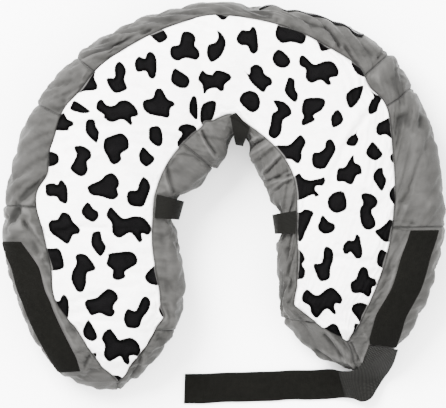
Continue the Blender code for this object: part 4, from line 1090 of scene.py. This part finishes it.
for name, cut in LOOPS:
    here = np.interp(run_of(cut), runs, inner_edge)
    ends = []
    for way in (-0.5, 0.5):
        row = int(np.argmin(np.abs(inner_edge - here - way * LOOP_WIDTH)))
        lift = np.full(SIDE_COLUMNS + 1, LOOP_STAND)
        lift[[0, -1]] = 0.4
        line = plain_inner[row] + plain_square[row] * lift[:, None]
        line[:, 2] = np.maximum(line[:, 2], 0.4)
        ends.append(line[2:-6])
    across = np.linspace(0.0, 1.0, 19)[:, None, None]
    low = ends[0] + (ends[1] - ends[0]) * across
    if name == "loop_back":
        reach, rise = np.array(BACK_LOOP_POINT).T
        tip = np.interp(across[:, 0, 0], reach, rise)
        over = low[:, 0] - low[:, 4]
        over[:, 2] = 0.0
        over = over / np.maximum(np.linalg.norm(over, axis=1, keepdims=True), 1e-9)
        extra = [
            low[:, 0] + over * (tip * k / 5)[:, None] + (0.0, 0.0, 1.2 + 1.2 * k / 5)
            for k in range(5, 0, -1)
        ]
        low = np.concatenate((np.stack(extra, axis=1), low), axis=1)
    square = square_to(low, rest[row_at(cut)].mean(axis=0))
    high = low + square * LOOP_THICK
    high[:, :, 2] = np.maximum(high[:, :, 2], 0.4)
    piece = band_object(name + "_elastic", low, high, elastic)
    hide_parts(name)
    reach = float(length_along(low, 1)[:, -1].mean()) / 1000.0


# Closure strap
# Twill webbing that goes on from the right pile strip, turns over the tip of the cover with a
# fold across its corner, and lies flat on the table. Pile tape covers its last 160 mm.
# Lines across it give its inner end, its outer end, and its height at seven places between.
STRAP_THICK = 1.8
STRAP_GAP = 0.3
TAPE_THICK = 1.2
TAPE_LENGTH = 160.0
STRAP_LINES = np.array((
    (146.9, -141.5, 176.6, -145.9, 41.0, 41.0, 40.1, 39.1, 37.2, 34.8, 31.9),
    (144.8, -148.4, 174.6, -152.9, 36.8, 36.1, 35.9, 34.4, 31.7, 29.0, 26.0),
    (142.6, -155.0, 172.3, -160.0, 32.4, 32.0, 31.2, 28.6, 25.8, 23.0, 20.0),
    (140.0, -159.7, 168.2, -168.0, 29.6, 28.4, 27.3, 23.5, 20.2, 16.9, 13.6),
    (137.6, -163.2, 162.4, -176.4, 27.7, 26.0, 23.9, 20.5, 16.5, 11.9, 8.7),
    (134.0, -165.7, 156.4, -185.3, 25.7, 22.7, 19.1, 15.5, 11.3, 10.6, 10.6),
    (130.2, -166.7, 149.5, -195.4, 24.3, 19.8, 14.7, 11.9, 11.9, 11.9, 11.9),
    (126.2, -167.3, 140.9, -198.5, 22.4, 17.8, 12.6, 11.9, 11.9, 11.9, 11.9),
    (120.7, -167.5, 131.9, -195.6, 17.9, 15.8, 12.0, 9.8, 9.8, 9.8, 9.8),
    (115.7, -166.7, 122.7, -194.9, 13.1, 11.9, 9.3, 5.7, 5.1, 5.1, 5.1),
    (111.4, -165.9, 112.5, -195.9, 8.6, 7.3, 4.5, 2.6, 2.4, 2.4, 2.4),
    (93.7, -166.6, 92.7, -196.5, 2.1, 2.1, 2.1, 2.1, 2.1, 2.1, 2.1),
    (50.0, -168.1, 49.0, -198.1, 2.1, 2.1, 2.1, 2.1, 2.1, 2.1, 2.1),
    (6.0, -169.6, 5.0, -199.6, 2.1, 2.1, 2.1, 2.1, 2.1, 2.1, 2.1),
    (-37.4, -171.1, -38.5, -201.1, 2.1, 2.1, 2.1, 2.1, 2.1, 2.1, 2.1),
))
webbing = Finish("webbing", Roughness=0.7, Specular_IOR_Level=0.05)
web_lay = webbing.vector("lay")
web_across = webbing.node("SeparateXYZ", output=0, Vector=web_lay) * 1000.0
web_along = webbing.node("SeparateXYZ", output=1, Vector=web_lay) * 1000.0
twill = ((web_across * 1.0 + web_along * 1.15) * (2 * math.pi / 3.0)).math("SINE") * 0.5 + 0.5
pick = (web_along * (2 * math.pi / 1.5)).math("SINE") * 0.5 + 0.5
yarn = webbing.noise(web_lay, 700.0, 2.0, 0.6)
dust = webbing.noise(web_lay, 260.0, 3.0, 0.7)
web_tone = (twill.step(0.35, 1.0) * pick * 1.1 + yarn * 0.35 - 0.12).clip(0.0, 1.0)
web_colour = webbing.blend(web_tone, (0.0012, 0.0012, 0.0010, 1.0), (0.0150, 0.0147, 0.0135, 1.0))
web_colour = webbing.blend(dust.step(0.62, 0.75) * 0.35, web_colour, (0.0160, 0.0157, 0.0145, 1.0))
webbing.feed(Base_Color=web_colour)
webbing.relief(twill + pick * 0.5 + yarn * 0.3, 0.0006, 1.0)
line_middles = (STRAP_LINES[:, 0:2] + STRAP_LINES[:, 2:4]) / 2
line_runs = np.concatenate(([0.0], np.cumsum(np.linalg.norm(np.diff(line_middles, axis=0), axis=1))))
strap_runs = np.arange(0.0, line_runs[-1] + 0.5, line_runs[-1] / 190)
lines = smooth_through(line_runs, STRAP_LINES, strap_runs)
lanes = np.linspace(0.0, 1.0, 25)
heights = np.stack([np.interp(lanes, np.linspace(0.0, 1.0, 7), line[4:]) for line in lines])
heights = np.maximum(heights, STRAP_THICK + STRAP_GAP)
for _ in range(2):
    heights[:, 1:-1] = np.maximum(heights[:, 1:-1], (heights[:, :-2] + heights[:, 2:]) / 2)
flutter = 0.35 * waves(strap_runs, 0.0, 34.0, 8)[:, None] * np.array((0.6, 1.0))[None, :]
plan = lines[:, None, 0:2] + (lines[:, None, 2:4] - lines[:, None, 0:2]) * lanes[None, :, None]
plan[:, :, 1] += flutter[:, 0:1] * (1.0 - lanes) + flutter[:, 1:2] * lanes
top = np.concatenate((plan, heights[:, :, None]), axis=2)
low = top - (0.0, 0.0, STRAP_THICK)
edge_share = np.abs(lanes * 2.0 - 1.0)
top[:, :, 2] -= 0.5 * np.clip((edge_share - 0.90) / 0.10, 0.0, 1.0) ** 2
strap = band_object("strap_webbing", low, top, webbing)
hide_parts("closure_strap")
strap_at = length_along(top, 0)[:, len(lanes) // 2]
tape_rows = np.nonzero(strap_at > strap_at[-1] - TAPE_LENGTH)[0][:-1]
tape_low = top[tape_rows][:, 1:-1] + (0.0, 0.0, 0.35)
tape_stands = pile_height(tape_low.shape[:2], TAPE_THICK, 9)[:, :, None]
tape_high = tape_low + np.array((0.0, 0.0, 1.0)) * tape_stands
tape = band_object("strap_pile", tape_low, tape_high, pile)
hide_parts("strap_fastening_tape")
